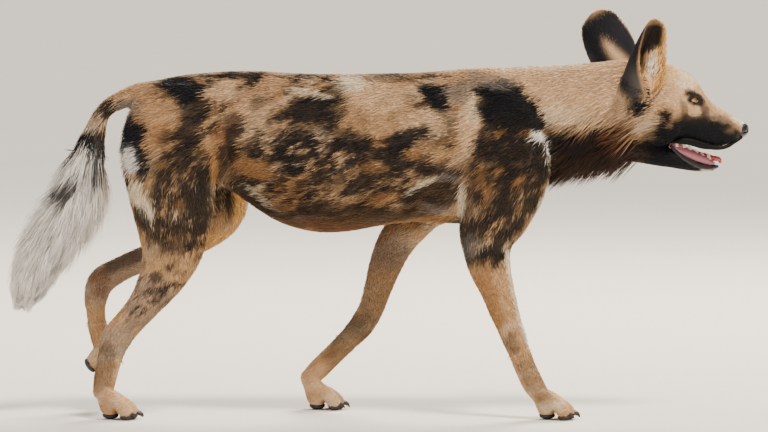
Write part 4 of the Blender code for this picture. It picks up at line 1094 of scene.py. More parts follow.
def head_skin():
    """Skull, cheeks, brows, lids and jaw, with the mouth and the two slits cut."""
    forms = [loft(trunk_rings(NECK)), loft(trunk_rings(SKULL)), loft(trunk_rings(JAW))]
    for side in (-1, 1):
        forms.append(ball((0.476, side * 0.048, 0.512), (0.040, 0.020, 0.040)))
        forms.append(ball((0.446, side * 0.040, 0.568), (0.032, 0.020, 0.032)))
        forms.append(ball(eye_frame(side)[0], (LID_RADIUS,) * 3))
        brow = (
            (0.512, side * 0.036, 0.577, 0.006, 0.006),
            (0.530, side * 0.037, 0.570, 0.0075, 0.008),
            (0.546, side * 0.030, 0.560, 0.005, 0.006),
        )
        forms.append(loft(limb_rings(brow, 20)))
        forms.append(ball((0.598, side * 0.020, 0.489), (0.024, 0.0125, 0.0165)))
    whole = remeshed(forms, HEAD_VOXEL, 4)
    p, n = points_of(whole), normals_of(whole)
    p -= n * coat_depth(p)[:, None]
    set_points(whole, p)
    whole = combined(whole, ball(PALATE, PALATE_RADII), "DIFFERENCE")
    whole = combined(whole, loft(limb_rings(TROUGH, 32)), "DIFFERENCE")
    for side in (-1, 1):
        centre, turn = eye_frame(side)
        slit = ball(centre + turn @ SLIT_AT, (0.009, 0.0102, 0.0043), turn)
        socket = ball(centre, (EYE_RADIUS + 0.0002,) * 3, turn)
        whole = combined(combined(whole, slit, "DIFFERENCE"), socket, "DIFFERENCE")
    turned_mesh(whole)
    return combined(whole, prism(box_outline(SEAM, 0.8, 0.3, 0.8), -0.4, 0.4), "INTERSECT")


def box_outline(x_from, x_to, z_from, z_to):
    """The four corners of an upright rectangle."""
    return ((x_from, z_from), (x_to, z_from), (x_to, z_to), (x_from, z_to))


def body_skin():
    """Trunk, neck, legs and tail dock in one skin, drawn in by the depth of the coat."""
    forms = [loft(turned_rings(trunk_rings(TORSO))), loft(turned_rings(trunk_rings(NECK)))]
    forms += [loft(limb_rings(rooted(stations))) for stations, reach in LIMBS]
    forms.append(loft(limb_rings(TAIL_DOCK)))
    whole = remeshed(forms, BODY_VOXEL, 4)
    p, n = points_of(whole), normals_of(whole)
    p += n * (relief(p, n) - coat_depth(p))[:, None]
    set_points(whole, p)
    keep = prism(box_outline(-1.0, SEAM + 0.0004, -0.2, 0.8), -0.4, 0.4)
    return combined(whole, keep, "INTERSECT")


def rooted(stations):
    """A limb with one more station, which leads its upper end inside the trunk."""
    x, y, z, a, b = stations[0]
    return ((x, y * 0.3, z + 0.012, a * 0.5, b), *stations)


def turned_rings(rings):
    """Rings turned with the head."""
    return turned(rings.reshape(-1, 3)).reshape(rings.shape)


def paw_region(outline, name):
    """The part of the model that holds one paw, as the frame's cut does."""
    side = -1 if name.startswith("right") else 1
    return prism(outline, 0.012 * side, 0.3 * side)


def whole_skin():
    """Body, head and four finer paws joined into one closed skin."""
    whole = body_skin()
    for name, (stations, yaw, tilt, stands) in PAWS.items():
        flesh, pads, claws = paw_parts(stations, yaw, tilt, stands)
        fine = remeshed([loft(limb_rings(stations[-6:]))] + flesh, PAW_VOXEL, 2)
        p, n = points_of(fine), normals_of(fine)
        p -= n * coat_depth(p)[:, None]
        if stands:
            p[:, 2] = np.maximum(p[:, 2], FLOOR_GAP)
        set_points(fine, p)
        region = paw_region(PAW_CUTS[name], name)
        fine = combined(fine, region, "INTERSECT")
        whole = combined(whole, paw_region(inner_cut(PAW_CUTS[name]), name), "DIFFERENCE")
        whole = combined(whole, fine, "UNION")
    return combined(whole, head_skin(), "UNION")


def inner_cut(outline):
    """The outline moved down its leg by the overlap that lets two skins join."""
    flat = np.array(outline)
    return flat - np.array([0.0, 0.0004])


# ---------------------------------------------------------------- hair


def triangles_of(mesh):
    """Corner numbers, areas and unwrap places of the triangles of a mesh."""
    mesh.calc_loop_triangles()
    corners = read(mesh.loop_triangles, "vertices", kind=np.int32)
    loops = read(mesh.loop_triangles, "loops", kind=np.int32)
    areas = read(mesh.loop_triangles, "area", 1)[:, 0].astype(float)
    places = read(mesh.uv_layers["unwrap"].data, "uv", 2)[loops].mean(axis=1)
    return corners, areas, places


def scattered(mesh, per_area, draw):
    """Roots spread over a mesh: equal steps of the running sum of area times density."""
    corners, areas, places = triangles_of(mesh)
    p, n = points_of(mesh), normals_of(mesh)
    middle = p[corners].mean(axis=1)
    running = np.cumsum(areas * per_area(middle, n[corners].mean(axis=1)))
    count = int(running[-1])
    at = np.searchsorted(running, np.arange(count) + draw.random(count))
    at = np.minimum(at, len(corners) - 1)
    u, v = draw.random(count), draw.random(count)
    over = u + v > 1
    u, v = np.where(over, 1 - u, u), np.where(over, 1 - v, v)
    weights = np.stack([1 - u - v, u, v], axis=1)[:, :, None]
    roots = (p[corners[at]] * weights).sum(axis=1)
    normals = unit((n[corners[at]] * weights).sum(axis=1))
    return roots, normals, places[at]


def hair_piece(name, lines, normals, widths, thick, colours, places, material, tip_light=1.15):
    """Closed three-sided blades along lines of points, each with its own colour and patch.

    Ring k of a blade is its line's point k plus or minus half its width across, and its
    ridge; the last point of the line is the tip.
    """
    count, steps = lines.shape[:2]
    along = np.gradient(lines, axis=1)
    across = np.cross(along, normals[:, None])
    across /= np.linalg.norm(across, axis=2)[:, :, None] + 1e-9
    up = np.cross(across, along)
    up /= np.linalg.norm(up, axis=2)[:, :, None] + 1e-9
    share = np.linspace(0, 1, steps)[:-1]
    taper = (1 - share) ** 0.6 * (0.75 + 0.5 * np.minimum(share * 3, 1))
    half = 0.5 * widths[:, None, None] * taper[None, :, None]
    rise = np.asarray(thick).reshape(-1, 1, 1) * taper[None, :, None]
    body = lines[:, :-1]
    rings = np.stack([body - across[:, :-1] * half, body + across[:, :-1] * half,
                      body + up[:, :-1] * rise], axis=2)
    points = np.concatenate([rings.reshape(count, -1, 3), lines[:, -1:]], axis=1)
    points[:, :, 2] = np.maximum(points[:, :, 2], FLOOR_GAP)
    each = points.shape[1]
    faces = [(0, 2, 1)]
    for r in range(steps - 2):
        for k in range(3):
            a, b = 3 * r + k, 3 * r + (k + 1) % 3
            faces += [(a, b, b + 3), (a, b + 3, a + 3)]
    for k in range(3):
        faces.append((3 * (steps - 2) + k, 3 * (steps - 2) + (k + 1) % 3, each - 1))
    faces = np.array(faces)
    corners = (faces[None] + np.arange(count)[:, None, None] * each).reshape(-1)
    mesh = bpy.data.meshes.new(name)
    mesh.vertices.add(count * each)
    mesh.vertices.foreach_set("co", points.astype(np.float32).ravel())
    mesh.loops.add(len(corners))
    mesh.loops.foreach_set("vertex_index", corners.astype(np.int32))
    mesh.polygons.add(len(corners) // 3)
    mesh.polygons.foreach_set("loop_start", np.arange(0, len(corners), 3, dtype=np.int32))
    mesh.update(calc_edges=True)
    mesh.polygons.foreach_set("use_smooth", np.ones(len(corners) // 3, bool))
    shade = np.concatenate([np.repeat(0.72 + (tip_light - 0.72) * share, 3), [tip_light]])
    paint(mesh, colours[:, None] * shade[None, :, None])
    local = np.zeros((each, 2))
    local[:-1, 0] = np.tile([-0.5, 0.5, 0.0], steps - 1) * PATCH
    local[:-1, 1] = np.repeat(share, 3) * PATCH
    local[-1] = (0, PATCH)
    spots = places[:, None] + local[None]
    layer = mesh.uv_layers.new(name="OFBake")
    layer.data.foreach_set("uv", spots.reshape(-1, 2)[corners].astype(np.float32).ravel())
    piece_from(name, mesh, material)


def piece_from(name, mesh, *materials):
    """A piece of the scene with its mesh and materials, shaded smooth."""
    mesh.materials.clear()
    for material in materials:
        mesh.materials.append(material)
    made = in_scene(name, mesh)
    mesh.polygons.foreach_set("use_smooth", np.ones(len(mesh.polygons), bool))
    PIECES.append(made)
    return made


def lines_over(roots, normals, ways, lengths, lifts, steps, droop=0.0):
    """Lines of hair: root + way * L t + normal * lift * sin(share of a half turn), sunk."""
    t = np.linspace(0, 1, steps)[None, :, None]
    out = lifts[:, None, None] * np.sin(t * math.pi * 0.62)
    lines = roots[:, None] + ways[:, None] * (lengths[:, None, None] * t) + normals[:, None] * out
    lines[:, :, 2] -= droop * (lengths[:, None] * t[:, :, 0] ** 2)
    return lines - normals[:, None] * ROOT_SINK


def swayed(ways, normals, draw, spread):
    """Ways turned about the normals by a random angle."""
    angle = draw.normal(0, spread, len(ways))[:, None]
    return ways * np.cos(angle) + np.cross(normals, ways) * np.sin(angle)


def bare(p, normals):
    """Where no hair grows: mouth, nose, eye slits and the soles."""
    straight = turned(p, -1.0)
    none = within(straight, (0.556, 0, 0.4655), (0.066, 0.0225, 0.0135))
    none |= within(straight, (0.530, 0, 0.462), (0.050, 0.0215, 0.0125))
    none |= within(straight, (0.633, 0, 0.4975), (0.020, 0.021, 0.0165))
    for side in (-1, 1):
        centre, turn = eye_frame(side)
        none |= within(straight, centre + turn @ SLIT_AT, (0.0110, 0.0115, 0.0056))
        none |= within(straight, centre, (EYE_RADIUS + 0.0012,) * 3)
    none &= p[:, 2] > HEAD_ABOVE
    soles = (p[:, 2] < 0.012) & (normals[:, 2] < -0.35)
    return none | soles


def region_of(p):
    """The number of the coat piece that a root belongs to."""
    x, z = p[:, 0], p[:, 2]
    head = turned(p, -1.0)[:, 0] > NAPE[0]
    where = np.zeros(len(p), int)
    where[(x >= 0.02) & (z > LEGS_BELOW)] = 1
    where[(x >= 0.24) & (z > LEGS_BELOW)] = 2
    where[(x < -0.24) & (z > LEGS_BELOW)] = 3
    where[(z <= LEGS_BELOW) & (x > -0.2)] = 4
    where[(z <= LEGS_BELOW) & (x <= -0.2)] = 5
    where[head & (z > HEAD_ABOVE)] = 6
    return where


def frayed_colours(roots, ways, normals, length, draw):
    """Coat colours taken a random way along and across from each tuft, so edges fray."""
    share = np.minimum(length / 0.015, 1)[:, None]
    along = draw.normal(0.5, 1.0, (len(roots), 1)) * SPREAD_ALONG * share
    across = draw.normal(0, 1.0, (len(roots), 1)) * SPREAD_ACROSS
    return coat_colours(roots + ways * along + np.cross(normals, ways) * across)


# Coat pieces in the order of region_of's numbers
REGIONS = ("coat_flanks", "coat_shoulders", "coat_neck", "coat_rump",
           "coat_forelegs", "coat_hind_legs", "coat_head")


def short_coat(skin, draw):
    """Tufts over the whole skin, shortest on the face and feet."""

    def per_area(p, n):
        """Tufts a square metre: one over the area of a tuft, and none where it is bare."""
        straight = turned(p, -1.0)
        head = (straight[:, 0] > NAPE[0]) & (p[:, 2] > HEAD_ABOVE)
        count = np.where(head, 1 / HEAD_TUFT, 1 / BODY_TUFT)
        count = np.where(p[:, 2] < LEGS_BELOW, 1 / LEG_TUFT, count)
        count = np.where(p[:, 2] < 0.09, 1 / FOOT_TUFT, count)
        return count * ~bare(p, n)

    roots, normals, places = scattered(skin.data, per_area, draw)
    straight = turned(roots, -1.0)
    x, z = straight[:, 0], roots[:, 2]
    face = smooth_step(0.43, 0.54, x) * (z > HEAD_ABOVE)
    length = 0.0058 + 0.0045 * smooth_step(0.04, 0.15, z) + 0.0052 * smooth_step(0.26, 0.36, z)
    length = length + (0.0062 - length) * face
    length = np.where((x > 0.585) & (z > HEAD_ABOVE), 0.0036, length)
    cheek = np.exp(-(((x - 0.452) / 0.022) ** 2) - ((z - 0.515) / 0.035) ** 2)
    length += 0.008 * cheek
    length += 0.006 * smooth_step(-0.42, -0.46, x) * (z > 0.32)
    length *= draw.uniform(0.75, 1.25, len(roots))
    width = 0.0009 + 0.00022 * smooth_step(0.04, 0.15, z) + 0.00022 * smooth_step(0.26, 0.36, z)
    width = width + (0.00070 - width) * face
    lift = coat_depth(roots) * draw.uniform(0.60, 1.05, len(roots))
    ways = swayed(lie_of(roots, normals), normals, draw, 0.16)
    colours = frayed_colours(roots, ways, normals, length, draw)
    colours *= draw.uniform(0.80, 1.22, len(roots))[:, None]
    lines = lines_over(roots, normals, ways, length, lift, 3)
    where = region_of(roots)
    for number, name in enumerate(REGIONS):
        pick = where == number
        hair_piece(name, lines[pick], normals[pick], width[pick], width[pick] * 0.45,
                   colours[pick], places[pick], GUARD_HAIR)


def ruff(skin, draw):
    """Long hair under the throat and down the breast, hanging back and down in locks."""

    def per_area(p, n):
        """Tufts a square metre: all under the throat, and half as many on the breast."""
        under = smooth_step(0.30, -0.45, n[:, 2]) * (p[:, 2] > HEAD_ABOVE)
        along = smooth_step(0.285, 0.325, p[:, 0]) * smooth_step(0.452, 0.43, p[:, 0])
        breast = smooth_step(0.26, 0.28, p[:, 0]) * (n[:, 0] > 0.3) * (p[:, 2] > 0.40) * 0.5
        breast *= smooth_step(0.33, 0.31, p[:, 0])
        return np.maximum(under * along, breast) / RUFF_TUFT

    roots, normals, places = scattered(skin.data, per_area, draw)
    clump = noise(roots, 0.017, 31)[:, None]
    ways = np.zeros_like(roots)
    ways[:] = (-0.86, 0, -0.42)
    ways += normals * (0.22 + 0.12 * clump) + np.cross(normals, ways) * clump * 0.35
    ways = unit(ways)
    under = smooth_step(0.25, -0.7, normals[:, 2])
    length = (0.022 + 0.026 * under) * draw.uniform(0.7, 1.15, len(roots))
    lift = np.full(len(roots), 0.004)
    colours = coat_colours(roots)
    fringe = TONES["rust"] * 1.1
    colours += (fringe - colours) * (0.26 * under * draw.random(len(roots)))[:, None]
    colours *= draw.uniform(0.60, 1.15, len(roots))[:, None]
    lines = lines_over(roots, normals, swayed(ways, normals, draw, 0.12), length, lift, 4, 0.15)
    width = np.full(len(roots), 0.0012)
    hair_piece("coat_ruff", lines, normals, width, width * 0.45, colours, places, GUARD_HAIR, 1.3)


def rows_at(place, length, rows):
    """Rows of a path at places along it."""
    return np.array([np.interp(place, length, column) for column in rows.T]).T


def tail_rows():
    """The brush's own rows and how far along it each one is."""
    rows = spline(TAIL_BRUSH, 8)
    steps = np.linalg.norm(np.diff(rows[:, :3], axis=0), axis=1)
    return rows, np.concatenate([[0], np.cumsum(steps)])


def tail_brush(draw):
    """Long hair from a slim core, out and down to the outline of the brush, in locks."""
    core = [(x, y, z, a * s, b * s) for (x, y, z, a, b), s in zip(TAIL_BRUSH, CORE_SHARES)]
    mesh = loft(limb_rings(core, 32))
    unwrapped(mesh)
    # The core is darkened as painted shade of the hair over it
    paint(mesh, coat_colours(points_of(mesh)) * WALL_SHADE)
    piece_from("tail_core", mesh, SKIN_COAT)
    rows, length = tail_rows()
    ways = np.gradient(rows[:, :3], length, axis=0)

    def per_area(p, n):
        """Hairs a square metre: the same everywhere."""
        return np.full(len(p), TAIL_HAIRS / CORE_AREA)

    roots, normals, places = scattered(mesh, per_area, draw)
    count = len(roots)
    at = length[np.linalg.norm(roots[:, None] - rows[None, :, :3], axis=2).argmin(axis=1)]
    reach = draw.uniform(0.060, 0.105, count)
    left = (length[-1] - at) * draw.uniform(0.72, 1.0, count)
    reach = np.minimum(reach, left + draw.uniform(0.000, 0.012, count))
    path = rows_at(at, length, rows)
    out = roots - path[:, :3]
    side = np.array([0.0, 1.0, 0.0])
    along = unit(rows_at(at, length, ways))
    depth = np.cross(along, side)
    sideways, inward = (out * side).sum(axis=1), (out * depth).sum(axis=1)
    angle = np.arctan2(sideways / path[:, 4], inward / path[:, 3])
    step = np.round(at / LOCK_STEP)
    lock = np.round(angle / LOCK_ANGLE + 0.4 * step) - 0.4 * step
    angle_end = angle + (lock * LOCK_ANGLE - angle) * 0.75 + draw.normal(0, 0.10, count)
    own = lattice(lock, step, 0 * lock, 71)
    proud = 0.74 + 0.30 * own + draw.normal(0, 0.05, count)
    proud += 0.22 * (draw.random(count) < 0.10)
    wander = (own - 0.5) * 0.030
    sway = draw.normal(0, 0.006, count) + (lattice(lock, step, 0 * lock, 72) - 0.5) * 0.024
    lines = []
    for t in np.linspace(0, 1, 4):
        here = at + reach * t
        inside = np.minimum(here, length[-1])
        row = rows_at(inside, length, rows)
        way = unit(rows_at(inside, length, ways))
        deep = np.cross(way, side)
        a = angle + (angle_end - angle) * t
        first = np.linalg.norm(out, axis=1) / np.hypot(row[:, 3] * np.cos(a), row[:, 4] * np.sin(a))
        share = 0.97 * np.minimum(first, 0.9) * (1 - t) ** 1.5 + proud * (1 - (1 - t) ** 1.5)
        spread = deep * (np.cos(a) * row[:, 3] * share)[:, None]
        spread += side * (np.sin(a) * row[:, 4] * share)[:, None]
        spread += deep * (wander * t**2)[:, None] + side * (sway * t**2)[:, None]
        lines.append(row[:, :3] + way * (here - inside)[:, None] + spread)
    lines = np.stack(lines, axis=1)
    lines[:, 0] = roots - normals * ROOT_SINK
    colours = coat_colours(lines[:, 1]) * draw.uniform(0.92, 1.10, count)[:, None]
    width = np.full(count, 0.0016)
    hair_piece("coat_tail_brush", lines, normals, width, width * 0.45,
               colours, places, TAIL_HAIR, 1.1)


# ---------------------------------------------------------------- ears


def ear_grid(name, columns=49, rows=57):
    """An ear's cup: at height h an arc of radius r(h) that wraps by w(h) a side.

    The arc's point at angle a is back + facing * r (1 - cos a) + side * r sin a.
    """
    root, height, facing = (np.array(v, float) for v in EARS[name])
    height = unit(height)
    facing = unit(facing - height * facing.dot(height))
    side = np.cross(height, facing)
    share, radius, wrap = np.array(EAR_ROWS, float).T
    h = np.sin(np.linspace(0, math.pi / 2, rows))
    r = np.interp(h, share, radius)[:, None]
    w = np.radians(np.interp(h, share, wrap))[:, None]
    u = np.linspace(-1, 1, columns)[None]
    angle = w * u
    bow = 0.006 * np.sin(math.pi * h)[:, None]
    middle = root + height * (EAR_HEIGHT * h)[:, None]
    back = middle[:, None] - facing * bow[..., None]
    inward = 1 - np.cos(angle)
    grid = back + facing * (r * inward)[..., None] + side * (r * np.sin(angle))[..., None]
    away = -facing * np.cos(angle)[..., None] + side * np.sin(angle)[..., None]
    return grid, away, h, np.broadcast_to(u, angle.shape), height


def ear_wall(name):
    """The thin cup, its wall thinning to a round rim, as one closed surface."""
    grid, away, h, u, height = ear_grid(name)
    edge = np.minimum((1 - np.abs(u)) * 9, (1 - h[:, None]) * 14)
    thick = 0.5 * (EAR_THICKNESS - 0.0016) * np.sqrt(np.clip(edge, 0.04, 1))
    veins = 0.0005 * np.sin(u * 14 + h[:, None] * 5) * smooth_step(0.0, 0.3, 1 - h[:, None])
    outer = grid + away * thick[..., None]
    inner = grid - away * (thick + veins)[..., None]
    rows, columns = u.shape
    n = rows * columns
    a = np.arange(n).reshape(rows, columns)
    walls = np.stack([a[:-1, :-1], a[:-1, 1:], a[1:, 1:], a[1:, :-1]], axis=-1).reshape(-1, 4)
    rim = np.concatenate([a[:, 0], a[-1, 1:], a[::-1, -1][1:], a[0, ::-1][1:-1]])
    ring = np.stack([rim, np.roll(rim, -1)], axis=1)
    band = np.stack([ring[:, 0], ring[:, 1], ring[:, 1] + n, ring[:, 0] + n], axis=1)
    points = np.vstack([outer.reshape(-1, 3), inner.reshape(-1, 3)])
    mesh = mesh_from(name, points, list(walls) + list(walls + n) + list(band))
    return mesh, outer, inner, away, h, u, height


def ear_colours(h, u, is_back, near):
    """Ear tones by height and arc: blue-black back with a tan ridge, painted grey sheen on the near
    ear's back, a painted sunlit rim, lit front wall inside.
    """
    front = u * near
    colour = np.where(is_back[..., None], TONES["ear"], TONES["hollow"])
    # Grey on the lower back of the near ear: painted sheen
    painted_sheen = is_back * smooth_step(0.62, 0.30, h) * (near > 0)
    painted_sheen = painted_sheen * (0.35 + 0.65 * smooth_step(-0.5, -0.95, front))
    colour = mixed(colour, "grey", 0.42 * painted_sheen)
    # Tan along the rim and the top: a painted sunlit rim on the edge hair
    rim = smooth_step(0.90, 1.0, np.maximum(np.abs(u), (h - 0.04) * 1.04 * (h > 0.9)))
    colour = mixed(colour, "tan", 0.75 * rim)
    ridge = np.exp(-(((front - 0.42 + 0.62 * h) / (0.20 - 0.12 * h)) ** 2))
    ridge = ridge * smooth_step(0.72, 0.45, h) * is_back
    colour = mixed(colour, "buff", 0.9 * ridge)
    hollow = 0.26 + 0.46 * smooth_step(0.46, 0.66, h)
    wall = smooth_step(hollow, hollow + 0.26, front) * ~is_back
    colour = mixed(colour, "gold", 0.85 * wall)
    white = np.exp(-(((front - 0.60) / 0.13) ** 2) - ((h - 0.34) / 0.15) ** 2) * ~is_back
    colour = mixed(colour, "white", 0.95 * white)
    rear = smooth_step(0.50, 0.78, -front) * ~is_back * smooth_step(0.78, 0.55, h)
    colour = mixed(colour, "gold", 0.75 * rear)
    low = smooth_step(0.24, 0.08, h) * ~is_back
    colour = mixed(colour, "buff", 0.8 * low)
    return colour


def on_grid(grid, at, across):
    """Values of a grid over height and arc at places between its rows and columns."""
    rows, columns = grid.shape[:2]
    row = np.clip(at * (rows - 1), 0, rows - 1.001)
    col = np.clip((across + 1) / 2 * (columns - 1), 0, columns - 1.001)
    i, j = row.astype(int), col.astype(int)
    fi, fj = (row - i)[:, None], (col - j)[:, None]
    first = grid[i, j] * (1 - fj) + grid[i, j + 1] * fj
    second = grid[i + 1, j] * (1 - fj) + grid[i + 1, j + 1] * fj
    return first * (1 - fi) + second * fi


def ear_hair(name, roots, normals, ways, length, lift, colours, across, hh, band, width,
             draw, sway, light):
    """Hair on an ear, from places given by its arc and height on one band of the unwrap."""
    ways = unit(ways - normals * (ways * normals).sum(axis=1)[:, None] * 0.9)
    lines = lines_over(roots, normals, swayed(ways, normals, draw, sway), length, lift, 3)
    lines = turned(lines.reshape(-1, 3)).reshape(lines.shape)
    places = np.stack([(across + 1) / 2, hh], axis=1) * 0.4 + np.asarray(band).reshape(-1, 1)
    widths = np.full(len(roots), width)
    hair_piece(name, lines, normals, widths, widths * 0.4, colours, places, GUARD_HAIR, light)


def velvet(name, outer, inner, away, height, draw):
    """Short hair over both faces of an ear, up the back and outward from the middle."""
    count = VELVET
    at, across = draw.random(count) ** 0.9, draw.uniform(-1, 1, count)
    back = draw.random(count) < 0.55
    hh = np.sin(at * math.pi / 2)
    normals = np.where(back[:, None], on_grid(away, at, across), -on_grid(away, at, across))
    roots = np.where(back[:, None], on_grid(outer, at, across), on_grid(inner, at, across))
    bend = across * np.where(back, -0.5, 0.5)
    ways = height[None] + np.cross(height[None], normals) * bend[:, None]
    length = 0.0060 * draw.uniform(0.7, 1.2, count) * np.where(hh > 0.93, 0.6, 1)
    jitter = draw.normal(0, 0.035, (2, count))
    colours = ear_colours(np.clip(hh + jitter[0], 0, 1), across + jitter[1], back, EAR_FRONT[name])
    colours *= draw.uniform(0.75, 1.25, count)[:, None]
    band = np.where(back, 0.05, 0.52)
    ear_hair(name + "_velvet", roots, normals, ways, length, np.full(count, 0.0008), colours,
             across, hh, band, 0.0010, draw, 0.15, 1.15)


def fringe(name, inner, away, height, draw):
    """Long hair along the ear's inner edges, leaning in, and a tuft in its foot."""
    count, near = FRINGE, EAR_FRONT[name]
    kind = draw.random(count)
    front = kind < 0.62
    at = np.where(front, draw.uniform(0.02, 0.62, count), draw.uniform(0.02, 0.42, count))
    ahead, behind = draw.uniform(0.30, 0.97, count), -draw.uniform(0.55, 0.97, count)
    across = np.where(front, ahead, behind) * near
    knob = kind > 0.88
    at = np.where(knob, draw.uniform(0.0, 0.10, count), at)
    across = np.where(knob, draw.uniform(-0.6, 0.6, count), across)
    hh = np.sin(at * math.pi / 2)
    roots, normals = on_grid(inner, at, across), -on_grid(away, at, across)
    toward = np.cross(height[None], normals) * near
    ways = height[None] + toward * np.where(front, -0.12, 0.55)[:, None]
    ways = ways + normals * np.where(knob, 0.9, 0.10)[:, None]
    length = np.where(front, 0.024, 0.016) * (1 - 0.45 * hh) * draw.uniform(0.6, 1.1, count)
    length = np.where(knob, 0.013, length)
    colours = ear_colours(np.clip(hh + 0.05, 0, 1), across, np.zeros(count, bool), near)
    colours *= draw.uniform(0.75, 1.2, count)[:, None]
    lift = np.where(front, 0.0022, 0.0040)
    ear_hair(name + "_fringe", roots, normals, ways, length, lift, colours, across, hh,
             np.full(count, 0.52), 0.0011, draw, 0.10, 1.2)


def skirt(name, outer, away, draw):
    """Hair round the ear's foot, lying back and down over the coat of the head."""
    count, near = SKIRT, EAR_FRONT[name]
    at, across = 0.16 * draw.random(count) ** 1.7, draw.uniform(-1, 1, count)
    hh = np.sin(at * math.pi / 2)
    roots, normals = on_grid(outer, at, across), on_grid(away, at, across)
    side = -1.0 if near > 0 else 1.0
    ways = np.array([[-0.62, side * 0.16, -0.66]]) + normals * 0.08
    length = draw.uniform(0.008, 0.014, count)
    low = coat_colours(turned(roots + np.array([[0.004, 0.0, -0.012]])))
    own = ear_colours(hh, across, np.ones(count, bool), near)
    colours = low + (own - low) * smooth_step(0.03, 0.12, at)[:, None]
    colours *= draw.uniform(0.7, 1.2, count)[:, None]
    ear_hair(name + "_skirt", roots, normals, ways, length, np.full(count, 0.0014), colours,
             across, hh, np.full(count, 0.05), 0.0008, draw, 0.2, 1.15)


def ear(name, draw):
    """One ear: wall, short velvet, long hair along its inner edges and a skirt at its foot."""
    mesh, outer, inner, away, h, u, height = ear_wall(name)
    near = EAR_FRONT[name]
    full = np.broadcast_to(h[:, None], u.shape)
    faces = (np.ones(u.shape, bool), np.zeros(u.shape, bool))
    # The wall is darkened as painted shade of the hair over it
    paint(mesh, WALL_SHADE * np.stack([ear_colours(full, u, face, near) for face in faces]))
    turned_mesh(mesh)
    unwrapped(mesh)
    piece_from(name + "_wall", mesh, SKIN_COAT)
    velvet(name, outer, inner, away, height, draw)
    fringe(name, inner, away, height, draw)
    skirt(name, outer, away, draw)


# ---------------------------------------------------------------- face


def eye_piece(side):
    """An eyeball whose rings run round the line of sight: pupil, iris and dark edge."""
    centre, turn = eye_frame(side)
    u = np.linspace(0, 2 * math.pi, 64, endpoint=False)[None]
    v = np.linspace(0, math.pi, 60)[1:-1, None]
    bulge = 1 + 0.045 * np.exp(-((v / 0.42) ** 4))
    sphere = np.stack([np.cos(v) + 0 * u, np.sin(v) * np.cos(u), np.sin(v) * np.sin(u)], axis=-1)
    swollen = np.broadcast_to(bulge, sphere.shape[:2])[..., None]
    points = sphere * (EYE_RADIUS - 0.0003) * swollen
    mesh = loft(points @ turn.T + centre)
    local = (points_of(mesh) - centre) @ turn
    off = np.hypot(local[:, 1], local[:, 2])
    spokes = 0.85 + 0.15 * np.sin(np.arctan2(local[:, 1], local[:, 2]) * 34)
    colour = TONES["sclera"][None] * np.ones((len(off), 1))
    iris = TONES["iris"] * spokes[:, None] * (0.8 + 0.7 * smooth_step(0.002, 0.0052, off))[:, None]
    colour += (iris - colour) * smooth_step(0.0068, 0.0062, off)[:, None]
    ring = (smooth_step(0.0054, 0.0062, off) * smooth_step(0.0076, 0.0066, off))[:, None]
    colour *= 1 - 0.85 * ring
    colour *= 1 - 0.98 * smooth_step(0.0022, 0.0018, off)[:, None]
    paint(mesh, colour)
    piece_from(side_name(side, "eyeball"), turned_mesh(mesh), EYE_GLOSS)


def tube(path, sides=16, steps=5):
    """A round bar along x, y, z, half size, half size rows, closed at its ends."""
    return loft(limb_rings(path, sides, steps))


def almond(t, half, high, inside):
    """The slit's outline at angles t: (half cos t, high sin t (1 - cos^2 t / 4)) on the lid."""
    y = half * np.cos(t)
    z = high * np.sin(t) * (1 - 0.25 * np.cos(t) ** 2) - 0.0004
    return np.stack([np.sqrt((LID_RADIUS - inside) ** 2 - y**2 - z**2), y, z], axis=1)


def side_name(side, part):
    """A part's name with its side before it."""
    return ("right_" if side < 0 else "left_") + part


def lid_rim(side):
    """The dark bare edge round the slit: a tube along the almond on the lid's own ball."""
    centre, turn = eye_frame(side)
    ring = almond(np.linspace(0, 2 * math.pi, 72, endpoint=False), 0.0104, 0.0045, 0.0012)
    along = unit(np.roll(ring, -1, axis=0) - np.roll(ring, 1, axis=0))
    out = unit(ring)
    flat = np.cross(along, out)
    angle = np.linspace(0, 2 * math.pi, 10, endpoint=False)[None, :, None]
    tubes = out[:, None] * np.cos(angle) * 0.0009 + flat[:, None] * np.sin(angle) * 0.0010
    tubes += ring[:, None]
    rows, sides = tubes.shape[:2]
    grid = np.arange(rows * sides).reshape(rows, sides)
    right, down = np.roll(grid, -1, axis=1), np.roll(grid, -1, axis=0)
    faces = np.stack([grid, right, np.roll(right, -1, axis=0), down], axis=-1).reshape(-1, 4)
    mesh = mesh_from("lid", tubes.reshape(-1, 3) @ turn.T + centre, faces)
    piece_from(side_name(side, "lid_rim"), turned_mesh(mesh), LIP_SKIN)


def lid_line(side):
    """The pale wet edge under the eye, its pale colour partly a painted highlight: the lower half
    of a thinner almond inside the rim.
    """
    centre, turn = eye_frame(side)
    path = almond(np.linspace(math.pi * 1.12, math.pi * 1.88, 25), 0.0092, 0.0037, 0.0014)
    # The bar runs along the eye's Y, so X and Y change places while it is made
    path = np.hstack([path[:, [1, 0, 2]], np.full((len(path), 2), 0.0006)])
    mesh = loft(limb_rings(path, 8, 1)[..., [1, 0, 2]] @ turn.T + centre)
    piece_from(side_name(side, "lid_line"), turned_mesh(mesh), LID_SKIN_AND_HIGHLIGHT)


